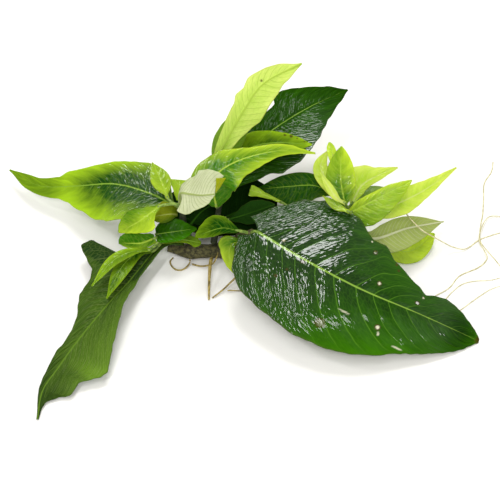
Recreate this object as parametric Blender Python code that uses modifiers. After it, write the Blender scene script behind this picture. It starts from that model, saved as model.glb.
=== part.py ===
"""Hygrophila, a leafy water plant, lying with its rhizome and roots on a flat surface.

Lengths in the layout below are in millimetres, and become metres as each mesh is made.
A leaf is an open sheet that follows its midrib, thickened by Solidify. Its upper side is
the side that its 'up' directions face. Stems and roots are bevelled curves.
"""

import math

import bmesh
import bpy
from mathutils import Vector

MM = 0.001
PLANT = "hygrophila"
MIDDLE = (2.53, 2.88)  # middle of the plant's footprint in the layout

BLADE = 0.5  # thickness of a leaf blade
RIB = 1.2  # thickness of a leaf at its midrib and stalk
STALK = 0.9  # half the width of a leaf stalk
POINT = 0.4  # half the width at the very tip of a leaf
STEM_SIDES = 2  # bevel resolution of stems and roots
STEP = 0.02  # share of a curve's length over which its direction is taken
BENDS = 8  # straight pieces from a leaf's midrib to its margin
EASE = 0.06  # how far a leaf's rows crowd towards its ends
LOBE_END = 6  # how fast a leaf's foot lobes fade along it
RIPPLE_APART = 2.1  # angle by which one margin's ripple leads the other's
RIPPLE_FULL = 4  # half width from which a margin ripples in full
RIB_REACH = 1.6  # half width of the thick midrib, in stalk half widths
KNOT = 0.07  # half length of a knot, as a share of the stem
KNOT_RISE = 0.25  # how far a knot stands out, as a share of the radius
LEAF_ROUGHNESS = 0.35
STEM_ROUGHNESS = 0.5

RHIZOME = 3.4  # radius of the rhizome
SHOOT = 1.7  # radius of a leafy shoot at its foot
ROOT = 0.45  # radius of a thin root

COLOURS = {
    "dark": "1F4A0E",
    "green": "3F7A14",
    "young": "8FBF1E",
    "olive": "6C8422",
    "pale": "B9C78A",
    "lime": "C3D95A",
    "stem": "6B6A2A",
    "rhizome": "7A6433",
    "root": "C9B98A",
}


def linear(code):
    """Linear colour of an sRGB hex code."""
    parts = [int(code[i : i + 2], 16) / 255 for i in (0, 2, 4)]
    return [p / 12.92 if p <= 0.04045 else ((p + 0.055) / 1.055) ** 2.4 for p in parts]


def finish(obj, kind, roughness):
    """Gives the object a material of its own in one of the plant's colours."""
    material = bpy.data.materials.new(obj.name + "_" + kind)
    material.use_nodes = True
    shader = material.node_tree.nodes["Principled BSDF"]
    shader.inputs["Base Color"].default_value = (*linear(COLOURS[kind]), 1)
    shader.inputs["Roughness"].default_value = roughness
    shader.inputs["Metallic"].default_value = 0.0
    obj.data.materials.append(material)


class Line:
    """Smooth curve through some points, measured by length from 0 to 1."""

    def __init__(self, points, steps=16):
        spots = [Vector(p) for p in points]
        spots = [2 * spots[0] - spots[1], *spots, 2 * spots[-1] - spots[-2]]
        self.points = [spots[1]]
        for a, b, c, d in zip(spots, spots[1:], spots[2:], spots[3:]):
            for i in range(1, steps + 1):
                u = i / steps
                even = 2 * b + (c - a) * u
                bend = (2 * a - 5 * b + 4 * c - d) * u**2
                turn = (3 * b - a - 3 * c + d) * u**3
                self.points.append((even + bend + turn) / 2)
        self.marks = [0.0]
        for p, q in zip(self.points, self.points[1:]):
            self.marks.append(self.marks[-1] + (q - p).length)
        self.length = self.marks[-1]

    def at(self, t):
        """Point at the fraction t of the length."""
        goal = min(max(t, 0.0), 1.0) * self.length
        for i in range(1, len(self.marks)):
            if self.marks[i] >= goal:
                break
        span = self.marks[i] - self.marks[i - 1]
        return self.points[i - 1].lerp(self.points[i], (goal - self.marks[i - 1]) / span)

    def way(self, t):
        """Direction of the curve at the fraction t."""
        return (self.at(t + STEP) - self.at(t - STEP)).normalized()


def between(rows, t):
    """Values at t from rows of (t, value, ...), eased from row to row."""
    if t <= rows[0][0]:
        return rows[0][1:]
    for low, high in zip(rows, rows[1:]):
        if t <= high[0]:
            u = (t - low[0]) / (high[0] - low[0])
            u = 0.5 * u + 0.5 * u * u * (3 - 2 * u)
            return [a + (b - a) * u for a, b in zip(low[1:], high[1:])]
    return rows[-1][1:]


def spread(values, t):
    """Value at t from values spaced evenly from 0 to 1, or the one value."""
    if not isinstance(values, (list, tuple)):
        return values
    return between([(i / (len(values) - 1), v) for i, v in enumerate(values)], t)[0]


class Blade:
    """Sheet of one leaf: t runs from the foot of its stalk to its tip, v across it."""

    def __init__(
        self,
        path,
        up,
        width=10,
        belly=0.45,
        full=2.2,
        stalk=0.08,
        sides=(1, 1),
        halves=None,
        fold=0,
        curl=0,
        wave=0,
        waves=3,
        phase=0,
        lobe=0,
        shift=None,
    ):
        self.line = Line(path)
        ups = up if isinstance(up, list) else [up]
        self.ups = [Vector(u).normalized() for u in ups]
        self.width = width
        self.belly = belly
        self.full = full
        self.stalk = stalk
        self.sides = sides
        self.halves = halves
        self.fold = fold
        self.curl = curl
        self.wave = wave
        self.waves = waves
        self.phase = phase
        self.lobe = lobe  # how far the margins at the foot reach back, in millimetres
        self.shift = shift or [(0, 0, 0)]  # rows of (t, left margin, right margin) set back

    def half(self, t, right):
        """Half width at t, on the right side or the left one."""
        if self.halves:
            return between(self.halves, t)[1 if right else 0]
        s = (t - self.stalk) / (1 - self.stalk)
        if s <= 0:
            return STALK
        b, m = self.belly, self.full
        shape = (s / b) ** (m * b) * max((1 - s) / (1 - b), 0) ** (m * (1 - b))
        edge = STALK + (POINT - STALK) * t
        return max(edge, self.width / 2 * shape * self.sides[1 if right else 0])

    def facing(self, t):
        """Upward direction of the sheet at t, square to the midrib."""
        if len(self.ups) == 1:
            up = self.ups[0]
        else:
            place = t * (len(self.ups) - 1)
            i = min(int(place), len(self.ups) - 2)
            up = self.ups[i].lerp(self.ups[i + 1], place - i)
        way = self.line.way(t)
        return (up - way * up.dot(way)).normalized()

    def spot(self, t, v):
        """Point of the sheet at t along it and v from -1 to 1 across it."""
        way, up = self.line.way(t), self.facing(t)
        side = way.cross(up)
        right = v > 0
        half = self.half(t, right)
        folds = self.fold[1 if right else 0] if isinstance(self.fold, tuple) else self.fold
        curls = self.curl[1 if right else 0] if isinstance(self.curl, tuple) else self.curl
        lean = math.radians(spread(folds, t))
        bend = math.radians(spread(curls, t))
        v_size = abs(v)
        out = rise = 0.0
        for i in range(BENDS):
            angle = lean + bend * v_size * (i + 0.5) / BENDS
            out += math.cos(angle) * v_size * half / BENDS
            rise += math.sin(angle) * v_size * half / BENDS
        shift = self.phase + (RIPPLE_APART if right else 0.0)
        ripple = math.sin(2 * math.pi * self.waves * t + shift)
        rise += self.wave * v_size**2 * ripple * min(1.0, half / RIPPLE_FULL)
        back = self.lobe * (1 - t) ** LOBE_END + between(self.shift, t)[1 if right else 0]
        return (
            self.line.at(t)
            + side * (out if right else -out)
            + up * rise
            - way * (back * v_size**2)
        )


def leaf(name, kind, rows, columns, **form):
    """One leaf as its own object, on a grid of rows along it and columns across it."""
    blade = Blade(**form)
    sheet = bmesh.new()
    bmesh.ops.create_grid(sheet, x_segments=rows, y_segments=columns, size=1)
    weights = []
    for vertex in sheet.verts:
        t, v = (vertex.co.x + 1) / 2, vertex.co.y
        t = t if blade.halves else t + EASE * math.sin(2 * math.pi * t)
        reach = max(blade.half(t, v > 0), STALK) * abs(v)
        weights.append(max(0.0, 1 - reach / (RIB_REACH * STALK)))
        spot = blade.spot(t, v)
        spot -= Vector((*MIDDLE, 0))
        vertex.co = spot * MM
    mesh = bpy.data.meshes.new(name)
    sheet.to_mesh(mesh)
    sheet.free()
    mesh.shade_smooth()
    obj = bpy.data.objects.new(name, mesh)
    plant.objects.link(obj)
    group = obj.vertex_groups.new(name="rib")
    for i, weight in enumerate(weights):
        group.add([i], weight, "REPLACE")
    solid = obj.modifiers.new("thickness", "SOLIDIFY")
    solid.thickness = RIB * MM
    solid.offset = 0
    solid.vertex_group = group.name
    solid.thickness_vertex_group = BLADE / RIB
    finish(obj, kind, LEAF_ROUGHNESS)
    return obj


def tube(name, kind, points, radii, pieces, knots=()):
    """Stem or root through the points, with its radii spread along it and raised knots."""
    line = Line(points)
    data = bpy.data.curves.new(name, "CURVE")
    data.dimensions = "3D"
    data.bevel_depth = MM
    data.bevel_resolution = STEM_SIDES
    data.use_fill_caps = True
    spline = data.splines.new("POLY")
    spline.points.add(pieces)
    for i, point in enumerate(spline.points):
        t = i / pieces
        spot = line.at(t) - Vector((*MIDDLE, 0))
        point.co = (*(spot * MM), 1)
        raised = max([math.exp(-(((t - k) / KNOT) ** 2)) for k in knots], default=0)
        point.radius = spread(radii, t) * (1 + KNOT_RISE * raised)
    obj = bpy.data.objects.new(name, data)
    plant.objects.link(obj)
    finish(obj, kind, STEM_ROUGHNESS)
    return obj


for old in list(bpy.data.objects):
    bpy.data.objects.remove(old)
plant = bpy.data.collections.new(PLANT)
bpy.context.scene.collection.children.link(plant)

# Stems. The rhizome lies on the surface, and the shoots rise from it.
tube(
    "rhizome",
    "rhizome",
    [
        (-41, 12.6, 4.1),
        (-30, 10.3, 4.2),
        (-12, 11, 4.3),
        (4, 14, 4.2),
        (14, 16, 4.1),
    ],
    [2.2, RHIZOME, RHIZOME, RHIZOME, 2.4],
    14,
    knots=(0.2, 0.5, 0.8),
)
tube(
    "stump",
    "rhizome",
    [(-9, 11.5, 9.1), (-5, 8, 18), (1, 4, 28)],
    [2.6, 2.4, 2.2],
    6,
    knots=(0.5,),
)
tube(
    "shoot_left",
    "stem",
    [(-29, 12, 8.8), (-32, 15, 17), (-33, 18, 26), (-33.3, 18.2, 33)],
    [SHOOT, SHOOT, 1.3, 0.9],
    8,
    knots=(0.6,),
)
tube(
    "shoot_fan",
    "stem",
    [(-38.5, 14, 8.2), (-42, 13.6, 13.5), (-44, 10.8, 18.3)],
    [1.5, 1.4, 1.1],
    5,
    knots=(0.7,),
)
tube(
    "shoot_crown",
    "stem",
    [(-18, 12.5, 9), (-16, 14, 24), (-14, 19, 37), (-12.8, 22, 41)],
    [SHOOT, SHOOT, 1.3, 0.9],
    9,
    knots=(0.4, 0.8),
)
tube(
    "shoot_right",
    "stem",
    [(16.6, 17.5, 5), (26, 19, 12), (38, 19, 18), (46, 19, 26)],
    [SHOOT, SHOOT, 1.6, 1.3],
    9,
    knots=(0.3, 0.7),
)

# Large old leaves that spread round the plant.
leaf(
    "leaf_front_broad",
    "dark",
    16,
    6,
    path=[(3, 3, 31), (23, -11, 30), (50, -25, 25), (79, -33, 15), (108, -39, 0.7)],
    up=(0, -0.2, 1),
    halves=[
        (0, 5, 6),
        (0.05, 18, 22),
        (0.11, 28, 28),
        (0.21, 34, 31),
        (0.33, 33, 33),
        (0.44, 26, 32),
        (0.51, 26, 30),
        (0.58, 20, 27),
        (0.69, 13.3, 21.3),
        (0.73, 10.3, 19.5),
        (0.77, 12, 17.6),
        (0.82, 13, 15),
        (0.86, 12, 12.8),
        (0.9, 10.2, 10.3),
        (0.94, 7.3, 7.3),
        (0.97, 4.8, 4),
        (0.99, 2.6, 1.8),
        (1, 1, 1),
    ],
    curl=(-5, -25),
    lobe=7,
)
leaf(
    "leaf_low_left_old",
    "dark",
    20,
    4,
    path=[
        (-33, 11, 9),
        (-44, 8, 11),
        (-58, -13, 11),
        (-66, -24, 11),
        (-79, -42, 8),
        (-88, -56, 5),
        (-94, -66, 2.5),
        (-95, -79, 0.7),
    ],
    up=(0, 0, -1),
    halves=[
        (0, 1, 1),
        (0.1, 2.5, 3),
        (0.19, 6, 4),
        (0.225, 15, 4),
        (0.243, 27, 4),
        (0.26, 31.8, 4),
        (0.28, 33.4, 4),
        (0.3, 30.3, 4.5),
        (0.338, 24.7, 6),
        (0.364, 19.2, 6),
        (0.41, 16.2, 7.5),
        (0.48, 15.1, 11),
        (0.52, 12.3, 13),
        (0.57, 8.2, 15.5),
        (0.63, 5.8, 18.5),
        (0.69, 5.2, 21),
        (0.72, 5.8, 20),
        (0.745, 5.4, 17),
        (0.785, 4.7, 12.3),
        (0.83, 3.5, 13),
        (0.87, 2.4, 11),
        (0.9, 1.5, 7.5),
        (0.93, 1, 2.5),
        (0.96, 0.6, 1),
        (1, POINT, POINT),
    ],
    fold=([0, 0, 0], [-40, -30, 0, 5]),
    shift=[
        (0.225, 0, 0),
        (0.243, 1.8, 0),
        (0.255, 3.4, 0),
        (0.272, 2.2, 0),
        (0.285, 0.6, 0),
        (0.3, 0, 0),
    ],
)
leaf(
    "leaf_left_long",
    "green",
    14,
    6,
    path=[
        (-37, 21, 28),
        (-49, 26, 31),
        (-67, 35, 27),
        (-89, 41, 18),
        (-109, 47, 11),
        (-127, 60, 8),
    ],
    up=(0, -0.45, 0.9),
    halves=[
        (0, 1, 1),
        (0.08, 9, 10),
        (0.18, 16.5, 14),
        (0.3, 19.5, 12),
        (0.42, 18.5, 10),
        (0.52, 13, 8.8),
        (0.6, 8.5, 7.8),
        (0.66, 6.3, 5.2),
        (0.85, 4, 3.5),
        (1, POINT, POINT),
    ],
    fold=(5, 5),
)
leaf(
    "leaf_back_dark",
    "dark",
    12,
    6,
    path=[(-11, 25, 34), (-3, 44, 38), (11, 57, 42), (30, 70, 45), (50, 84, 43)],
    up=(0, -0.15, 1),
    halves=(
        (0, 1, 1),
        (0.15, 6, 14),
        (0.3, 9, 21.5),
        (0.45, 10, 22.5),
        (0.54, 10.5, 21),
        (0.57, 11.5, 20.3),
        (0.59, 15.8, 19.5),
        (0.65, 16, 17.5),
        (0.7, 14.8, 14.5),
        (0.77, 12, 10.8),
        (0.9, 7, 5),
        (1, POINT, POINT),
    ),
)
leaf(
    "leaf_crown_pale",
    "lime",
    12,
    4,
    path=[
        (-14, 26, 42),
        (-14.5, 33, 50),
        (-10, 38.5, 58),
        (-3, 46, 67),
        (6.5, 55, 76),
        (24, 62, 82),
    ],
    up=(0, 0.574, -0.819),
    halves=[
        (0, 1, 1),
        (0.15, 2.5, 2.5),
        (0.3, 4.8, 4.2),
        (0.42, 7.2, 5.2),
        (0.5, 9, 6),
        (0.6, 9, 6.8),
        (0.72, 8, 6.5),
        (0.85, 4.7, 4.6),
        (1, POINT, POINT),
    ],
    wave=0.8,
)
leaf(
    "leaf_crown_behind",
    "green",
    8,
    4,
    path=[(-13, 27, 38), (-12, 39, 47.5), (-6, 48, 55), (3, 54, 61)],
    up=(0, 0.5, -0.8),
    width=14,
    belly=0.45,
    full=1.6,
)
leaf(
    "leaf_crown_arched",
    "young",
    12,
    4,
    path=[(-16, 13.5, 36.5), (-17, 20, 48.5), (-7, 26, 54), (12, 32, 55), (31, 35, 50)],
    up=(-0.2, -0.4, 0.9),
    halves=(
        (0, 2, 2),
        (0.07, 7.5, 8),
        (0.16, 11.6, 11.5),
        (0.22, 10.6, 12),
        (0.28, 9.2, 12),
        (0.33, 8.8, 11.5),
        (0.37, 8.2, 10.4),
        (0.41, 7, 8.7),
        (0.46, 5.8, 7.9),
        (0.54, 4.3, 6.6),
        (0.62, 3.8, 5),
        (0.72, 3.5, 2.9),
        (0.82, 2.9, 1.6),
        (0.9, 1.5, 0.7),
        (1, POINT, POINT),
    ),
)
leaf(
    "leaf_crown_olive",
    "olive",
    8,
    4,
    path=[(-4.5, 30.5, 43.2), (0, 41, 46.2), (12, 42, 49.5), (30, 44, 46)],
    up=(0, -0.1, 1),
    halves=[
        (0, 1, 1),
        (0.1, 2.5, 2.5),
        (0.2, 6.5, 5.5),
        (0.35, 8.6, 7.5),
        (0.5, 7.6, 7.7),
        (0.7, 6, 6),
        (0.85, 4, 3.5),
        (1, POINT, POINT),
    ],
)

# Left group of leaves.
leaf(
    "leaf_left_upper",
    "young",
    6,
    4,
    path=[(-39.6, 21.5, 32.3), (-43, 29.3, 36.6), (-47.5, 38, 39.8)],
    up=(0.3, -0.3, 0.9),
    width=10,
)
leaf(
    "leaf_left_bud",
    "young",
    6,
    4,
    path=[(-34.3, 20, 33), (-34, 23.2, 36.5), (-33.5, 27.2, 39.8)],
    up=(0, -0.57, 0.82),
    halves=[(0, 1, 1), (0.4, 2.5, 2.5), (0.8, 4.2, 4.5), (0.95, 4.5, 5.5), (1, 4, 5)],
)
leaf(
    "leaf_left_pale",
    "pale",
    14,
    4,
    path=(
        (-33.2, 16.8, 35.2),
        (-31.9, 12.25, 48),
        (-27.5, 9.85, 50.5),
        (-22.3, 7.25, 53),
        (-15.8, 6.4, 55),
    ),
    up=(0, 0.574, -0.819),
    halves=(
        (0, 0.9, 0.9),
        (0.38, 0.9, 0.9),
        (0.41, 3, 1.5),
        (0.45, 6.5, 4.2),
        (0.5, 8.4, 7.5),
        (0.55, 9.3, 10),
        (0.6, 9.6, 11.2),
        (0.66, 9.1, 11.7),
        (0.72, 6.9, 11.9),
        (0.79, 5.6, 11.9),
        (0.87, 4.1, 11.1),
        (0.93, 2.2, 9.9),
        (1, 0.6, 7.6),
    ),
    shift=(
        (0.38, 0, 0),
        (0.45, 2.4, -2),
        (0.5, 2.1, -2.5),
        (0.59, 1.4, -3),
        (0.66, 0.5, -2.9),
        (0.72, -0.5, -3),
        (0.79, -0.9, -3.2),
        (0.87, -0.9, -3.7),
        (0.93, -0.5, -4.6),
        (1, 0, -5),
    ),
)
leaf(
    "leaf_left_olive",
    "olive",
    6,
    4,
    path=[(-35.3, 16.7, 26), (-39, 14.3, 29.5), (-47, 13.1, 29)],
    up=(0, -0.57, 0.82),
    halves=[
        (0, 1, 2),
        (0.06, 1, 3),
        (0.14, 1.6, 3.9),
        (0.34, 3, 5.4),
        (0.55, 3.8, 6.5),
        (0.7, 3.8, 5.8),
        (0.86, 3, 3.2),
        (0.95, 2, 1.5),
        (1, POINT, POINT),
    ],
)
leaf(
    "leaf_fan_upper",
    "young",
    10,
    4,
    path=[(-43, 15.5, 34.5), (-48, 10, 35), (-54, 7, 32), (-63, 7, 25)],
    up=(0, -0.57, 0.82),
    halves=[
        (0, 1, 1),
        (0.1, 1.5, 1.5),
        (0.18, 2, 2.6),
        (0.27, 4.1, 3.6),
        (0.33, 6.9, 4.4),
        (0.4, 7.4, 5.3),
        (0.46, 6.9, 6),
        (0.6, 4.8, 7),
        (0.8, 2.6, 5.5),
        (0.93, 1.3, 3.2),
        (1, POINT, POINT),
    ],
)
leaf(
    "leaf_fan_cupped",
    "young",
    8,
    4,
    path=[(-46, 7, 20), (-53, 4, 20), (-64, 7, 16)],
    up=(0, -0.57, 0.82),
    halves=[
        (0, 2, 2),
        (0.08, 2.5, 3.2),
        (0.19, 2.8, 3.9),
        (0.41, 3.4, 5),
        (0.69, 2.5, 5.3),
        (0.85, 1.6, 4.6),
        (0.96, 0.6, 3.2),
        (1, 0.4, 1.5),
    ],
)
leaf(
    "leaf_fan_narrow",
    "young",
    8,
    4,
    path=[(-48, 1, 19), (-58, -3, 22), (-66, -9, 22), (-74, -20, 19)],
    up=(0, -0.4, 0.9),
    width=5.4,
)
leaf(
    "leaf_fan_slender",
    "green",
    8,
    4,
    path=((-47, 4, 13.3), (-55.3, 0.3, 16), (-61.5, -9.2, 17.5), (-67, -25, 16)),
    up=(0, -0.4, 0.9),
    width=8.6,
    sides=(1, 0.8),
)
leaf(
    "leaf_fan_dark",
    "dark",
    6,
    4,
    path=[(-45.5, 9, 20.5), (-37, 9, 22.5), (-26, 12, 21)],
    up=(0, -0.57, 0.82),
    halves=[
        (0, 3, 3.5),
        (0.1, 5, 4.6),
        (0.28, 5.8, 4.9),
        (0.52, 6.3, 4.9),
        (0.66, 5.2, 4.2),
        (0.77, 3.5, 3.2),
        (0.9, 1.5, 1.5),
        (1, POINT, POINT),
    ],
)
leaf(
    "leaf_fan_low",
    "green",
    6,
    4,
    path=[(-43, 8.8, 14), (-34, 10, 14.5), (-24, 9.5, 12.5)],
    up=(0, -0.57, 0.82),
    halves=[
        (0, 1, 1),
        (0.2, 2, 1.2),
        (0.45, 2.4, 1.3),
        (0.7, 2.6, 1.5),
        (0.85, 2.3, 2.7),
        (0.94, 1.4, 1.9),
        (1, POINT, POINT),
    ],
)

# Short leaves in the middle of the plant.
leaf(
    "leaf_front_small",
    "young",
    8,
    4,
    path=[
        (-4.2, 3, 23),
        (-8.5, 1.5, 23),
        (-10, -1.5, 19.5),
        (-9.5, -5, 15.2),
        (-7.9, -7.6, 12),
    ],
    up=(-0.3, -0.8, 0.5),
    halves=[
        (0, 0.9, 0.9),
        (0.15, 1.5, 2.5),
        (0.27, 2, 6),
        (0.34, 2.3, 6.2),
        (0.45, 2.6, 4.6),
        (0.6, 2.6, 3.6),
        (0.77, 2.2, 2.3),
        (0.9, 1.2, 1.2),
        (1, POINT, POINT),
    ],
)
leaf(
    "leaf_centre_short",
    "green",
    8,
    4,
    path=[(-5.6, 3.6, 30.8), (-14, 4.4, 31.5), (-26, 3.2, 26.5)],
    up=(0, -0.57, 0.82),
    halves=[
        (0, 1, 1),
        (0.1, 1.6, 2.2),
        (0.21, 2.1, 3.7),
        (0.34, 2.6, 5.8),
        (0.47, 2.9, 6.8),
        (0.59, 3, 6.4),
        (0.81, 2.2, 4),
        (0.93, 1.2, 2),
        (1, POINT, POINT),
    ],
)
leaf(
    "leaf_centre_grey",
    "olive",
    6,
    4,
    path=((-10, 15, 24.5), (0, 16.5, 27.5), (12, 19, 31)),
    up=(0, 0.57, -0.82),
    width=8,
    halves=(
        (0, 1, 1),
        (0.15, 2.5, 2),
        (0.35, 5, 4.6),
        (0.55, 5.8, 5.5),
        (0.75, 5, 4.5),
        (0.9, 2.5, 2.5),
        (1, POINT, POINT),
    ),
)
leaf(
    "leaf_centre_twisted",
    "young",
    6,
    4,
    path=((16, 21.5, 29), (9, 24, 31), (0, 24.4, 35.5)),
    up=(0, -0.57, 0.82),
    halves=[
        (0, 0.6, 0.6),
        (0.3, 0.9, 0.8),
        (0.55, 1.5, 1.2),
        (0.75, 1.8, 2.2),
        (0.93, 2.8, 2.7),
        (1, 2.8, 2.4),
    ],
)
leaf(
    "leaf_centre_dark",
    "dark",
    8,
    4,
    path=[(-13, 17.5, 22), (0, 26, 20.5), (14, 33, 19)],
    up=(0, -0.3, 0.95),
    halves=[
        (0, 6, 4),
        (0.1, 12, 8),
        (0.3, 19, 12.5),
        (0.5, 21, 14.5),
        (0.7, 17, 12),
        (0.85, 10, 8),
        (1, POINT, POINT),
    ],
)
leaf(
    "leaf_under_dark",
    "dark",
    8,
    4,
    path=[(3, 19.5, 8), (-20, 24.5, 10), (-46, 29, 8)],
    up=(0, 0, 1),
    width=17,
    full=1.6,
)
leaf(
    "leaf_inner_left",
    "dark",
    6,
    4,
    path=[(-34.6, 17, 17), (-40, 19.5, 19), (-47, 21, 18)],
    up=(0, -0.4, 0.9),
    width=9,
)
leaf(
    "leaf_inner_right",
    "dark",
    6,
    4,
    path=[(-29.4, 17, 17.5), (-24, 23, 20), (-17, 28, 21)],
    up=(0, -0.4, 0.9),
    width=18,
    full=1.6,
)
leaf(
    "leaf_inner_back",
    "dark",
    6,
    4,
    path=[(-32.8, 20.3, 22), (-33, 26, 25), (-32, 33, 27)],
    up=(0, -0.5, 0.87),
    width=14,
    full=1.6,
)

# Right group of leaves.
leaf(
    "leaf_right_dark",
    "green",
    10,
    4,
    path=[(43, 26, 26), (33, 32, 29), (20, 32, 29), (2, 32, 26)],
    up=(0, -0.57, 0.82),
    width=13,
    sides=(1.5, 1),
)
leaf(
    "leaf_right_lime",
    "lime",
    8,
    4,
    path=[(45, 19, 29), (39, 27, 36), (34, 34, 41), (38, 42, 45)],
    up=(0, -0.57, 0.82),
    width=9,
)
leaf(
    "leaf_right_bud",
    "young",
    6,
    4,
    path=[(43, 24, 40), (40, 33, 47), (38, 42, 50)],
    up=(0, -0.57, 0.82),
    width=4.5,
    belly=0.7,
)
leaf(
    "leaf_right_upright",
    "olive",
    10,
    4,
    path=[(46, 16, 31), (43, 24, 44), (43, 35, 55)],
    up=(0, -0.57, 0.82),
    width=14,
    full=1.5,
)
leaf(
    "leaf_right_side",
    "lime",
    8,
    4,
    path=[(49, 20, 30), (54, 27, 36), (62, 30, 40), (71, 33, 42)],
    up=(0, -0.57, 0.82),
    width=12,
    full=1.8,
    halves=(
        (0, 1, 1),
        (0.12, 3, 1.8),
        (0.25, 8.5, 3),
        (0.38, 9.8, 3),
        (0.52, 7.5, 2.8),
        (0.68, 3.9, 2.4),
        (0.85, 1.8, 1.4),
        (1, POINT, POINT),
    ),
)
leaf(
    "leaf_right_grey",
    "pale",
    6,
    4,
    path=[(50, 22, 26), (57, 25, 30), (67, 28, 33)],
    up=(0, -0.57, 0.82),
    width=8,
)
leaf(
    "leaf_right_glossy",
    "young",
    10,
    4,
    path=((48, 15, 30), (57, 16.5, 36), (67, 20, 40), (77, 25, 42)),
    up=(0, -0.57, 0.82),
    width=15,
    sides=(0.8, 1.25),
    halves=(
        (0, 1.5, 2.5),
        (0.06, 2.2, 7.5),
        (0.11, 2.9, 9.6),
        (0.22, 3.6, 10.5),
        (0.35, 3.6, 10.1),
        (0.47, 3.5, 9),
        (0.57, 3.5, 7.8),
        (0.66, 3.4, 6.5),
        (0.83, 2.1, 3.8),
        (0.93, 1.2, 1.6),
        (1, POINT, POINT),
    ),
)
leaf(
    "leaf_right_tip",
    "lime",
    10,
    4,
    path=[(51, 16, 28), (65, 17, 31), (82, 24, 34), (101, 38, 36)],
    up=(0, -0.57, 0.82),
    width=13,
    sides=(1, 0.85),
    halves=(
        (0, 1, 1),
        (0.12, 3.5, 3.5),
        (0.3, 5.5, 6),
        (0.42, 6, 6.4),
        (0.5, 5.7, 5.4),
        (0.6, 4.9, 4),
        (0.7, 3.7, 3),
        (0.85, 1.9, 1.5),
        (1, POINT, POINT),
    ),
)
leaf(
    "leaf_right_underside",
    "pale",
    10,
    4,
    path=[(49, 13, 24), (59, 6, 21), (77, 13, 20), (96, 20, 16)],
    up=(0, 0.57, -0.82),
    width=17,
    sides=(1.1, 0.75),
)
leaf(
    "leaf_right_cupped",
    "young",
    10,
    4,
    path=[(52, 19, 12), (66, 11.5, 8.5), (80, 9.8, 5), (93, 19.5, 6.5)],
    up=(0, -0.57, 0.82),
    width=12.5,
    belly=0.62,
    full=2,
)
leaf(
    "leaf_right_sliver",
    "lime",
    8,
    2,
    path=[(45, 14, 38.3), (40, 15.3, 42), (33, 25.3, 47.5)],
    up=(0, -0.57, 0.82),
    width=4,
)
leaf(
    "leaf_right_strap",
    "young",
    8,
    2,
    path=[(47, 10.5, 36.2), (40.5, 13.5, 37.3), (34.5, 18.5, 38.4)],
    up=(0, -0.57, 0.82),
    width=4,
)

# Roots. The long ones lie on the surface, and cross there one over another.
tube(
    "root_right_long",
    "root",
    [
        (76, 18, 25),
        (79, 13.5, 24.5),
        (84, 10.6, 21),
        (90, 10.6, 16),
        (96, 12, 9.5),
        (102, 13.5, 3.5),
        (109, 14, 1),
        (117, 20, 0.5),
        (124, 23, 0.5),
        (130, 25, 0.5),
    ],
    [ROOT, ROOT, 0.4],
    16,
)
tube(
    "root_right_back",
    "root",
    [
        (132, 72, 0.5),
        (130, 65, 0.5),
        (125, 57, 0.5),
        (123, 46, 0.55),
        (121, 36, 0.6),
        (118, 26, 1.8),
        (117, 18, 1.8),
        (120, 13, 0.8),
        (123, 8, 0.5),
        (126, 2, 0.5),
    ],
    [0.4, ROOT, 0.4],
    16,
)
tube(
    "root_right_front",
    "root",
    [
        (131, 35, 0.5),
        (124, 34, 1.5),
        (119, 27, 3.3),
        (116, 18, 3.3),
        (118, 12, 2.2),
        (119, 8, 1),
        (114, 3, 0.5),
        (104, -2, 0.5),
        (98, -9, 0.5),
        (90, -14, 0.5),
    ],
    [0.4, ROOT, 0.4],
    16,
)
tube(
    "root_right_low",
    "root",
    [
        (95, -16, 0.5),
        (100, -10.5, 0.5),
        (105.5, -6.5, 0.5),
        (112, -5, 0.5),
        (119, -4.5, 0.5),
        (126, -2.5, 0.5),
    ],
    [0.35, 0.4, 0.35],
    8,
)
tube(
    "root_right_lowest",
    "root",
    [(101.5, -22, 0.5), (110, -15.5, 0.5), (118, -10, 0.5), (126, -7, 0.5)],
    [0.35, 0.4, 0.35],
    6,
)
tube(
    "root_middle_straight",
    "root",
    [(-19, 5.4, 5), (-19.5, 1, 7), (-20, -7, 3.6), (-20, -16, 0.7)],
    [1.0, 1.1, 0.9, 0.6],
    7,
)
tube(
    "root_middle_fork",
    "root",
    [(-3, 8.5, 5), (-5, -3, 6), (-12, -10, 2.4), (-18.4, -15, 0.7)],
    [0.6, 0.6, 0.5],
    7,
)
tube(
    "root_middle_side",
    "root",
    [(-11, -11.4, 1.9), (-8, -10.9, 1), (-2, -11, 0.5)],
    [0.4, 0.4, 0.35],
    4,
)
tube(
    "root_middle_front",
    "root",
    [
        (-29, 4.6, 1.2),
        (-25, 3.6, 0.9),
        (-21.5, 3.4, 1.6),
        (-18.2, 3.6, 3.4),
        (-16.6, 5, 6.5),
        (-15.8, 6, 9),
    ],
    [0.5, 0.5, 0.4],
    8,
)
tube(
    "root_middle_loop",
    "root",
    [
        (-30, 5.4, 4),
        (-30, 4.6, 2.2),
        (-32.9, 2, 0.65),
        (-36.4, 1.4, 0.65),
        (-39, 3.6, 0.65),
        (-40, 6.5, 0.7),
        (-38.5, 8.6, 1.2),
    ],
    [0.5, 0.5, 0.45],
    12,
)
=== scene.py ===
"""Looks of a hygrophila, a leafy water plant that lies on its rhizome and roots.

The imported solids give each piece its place. Here every leaf, stem and root is modelled again
as a fine mesh on the same midrib or centre line, and stands for its solid. Lengths are in
millimetres in the layout, and become metres as each mesh is made.
"""

from __future__ import annotations

import functools
import logging
import math
from dataclasses import dataclass
from enum import Enum

import bmesh
import bpy
import numpy as np
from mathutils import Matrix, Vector, noise

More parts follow.
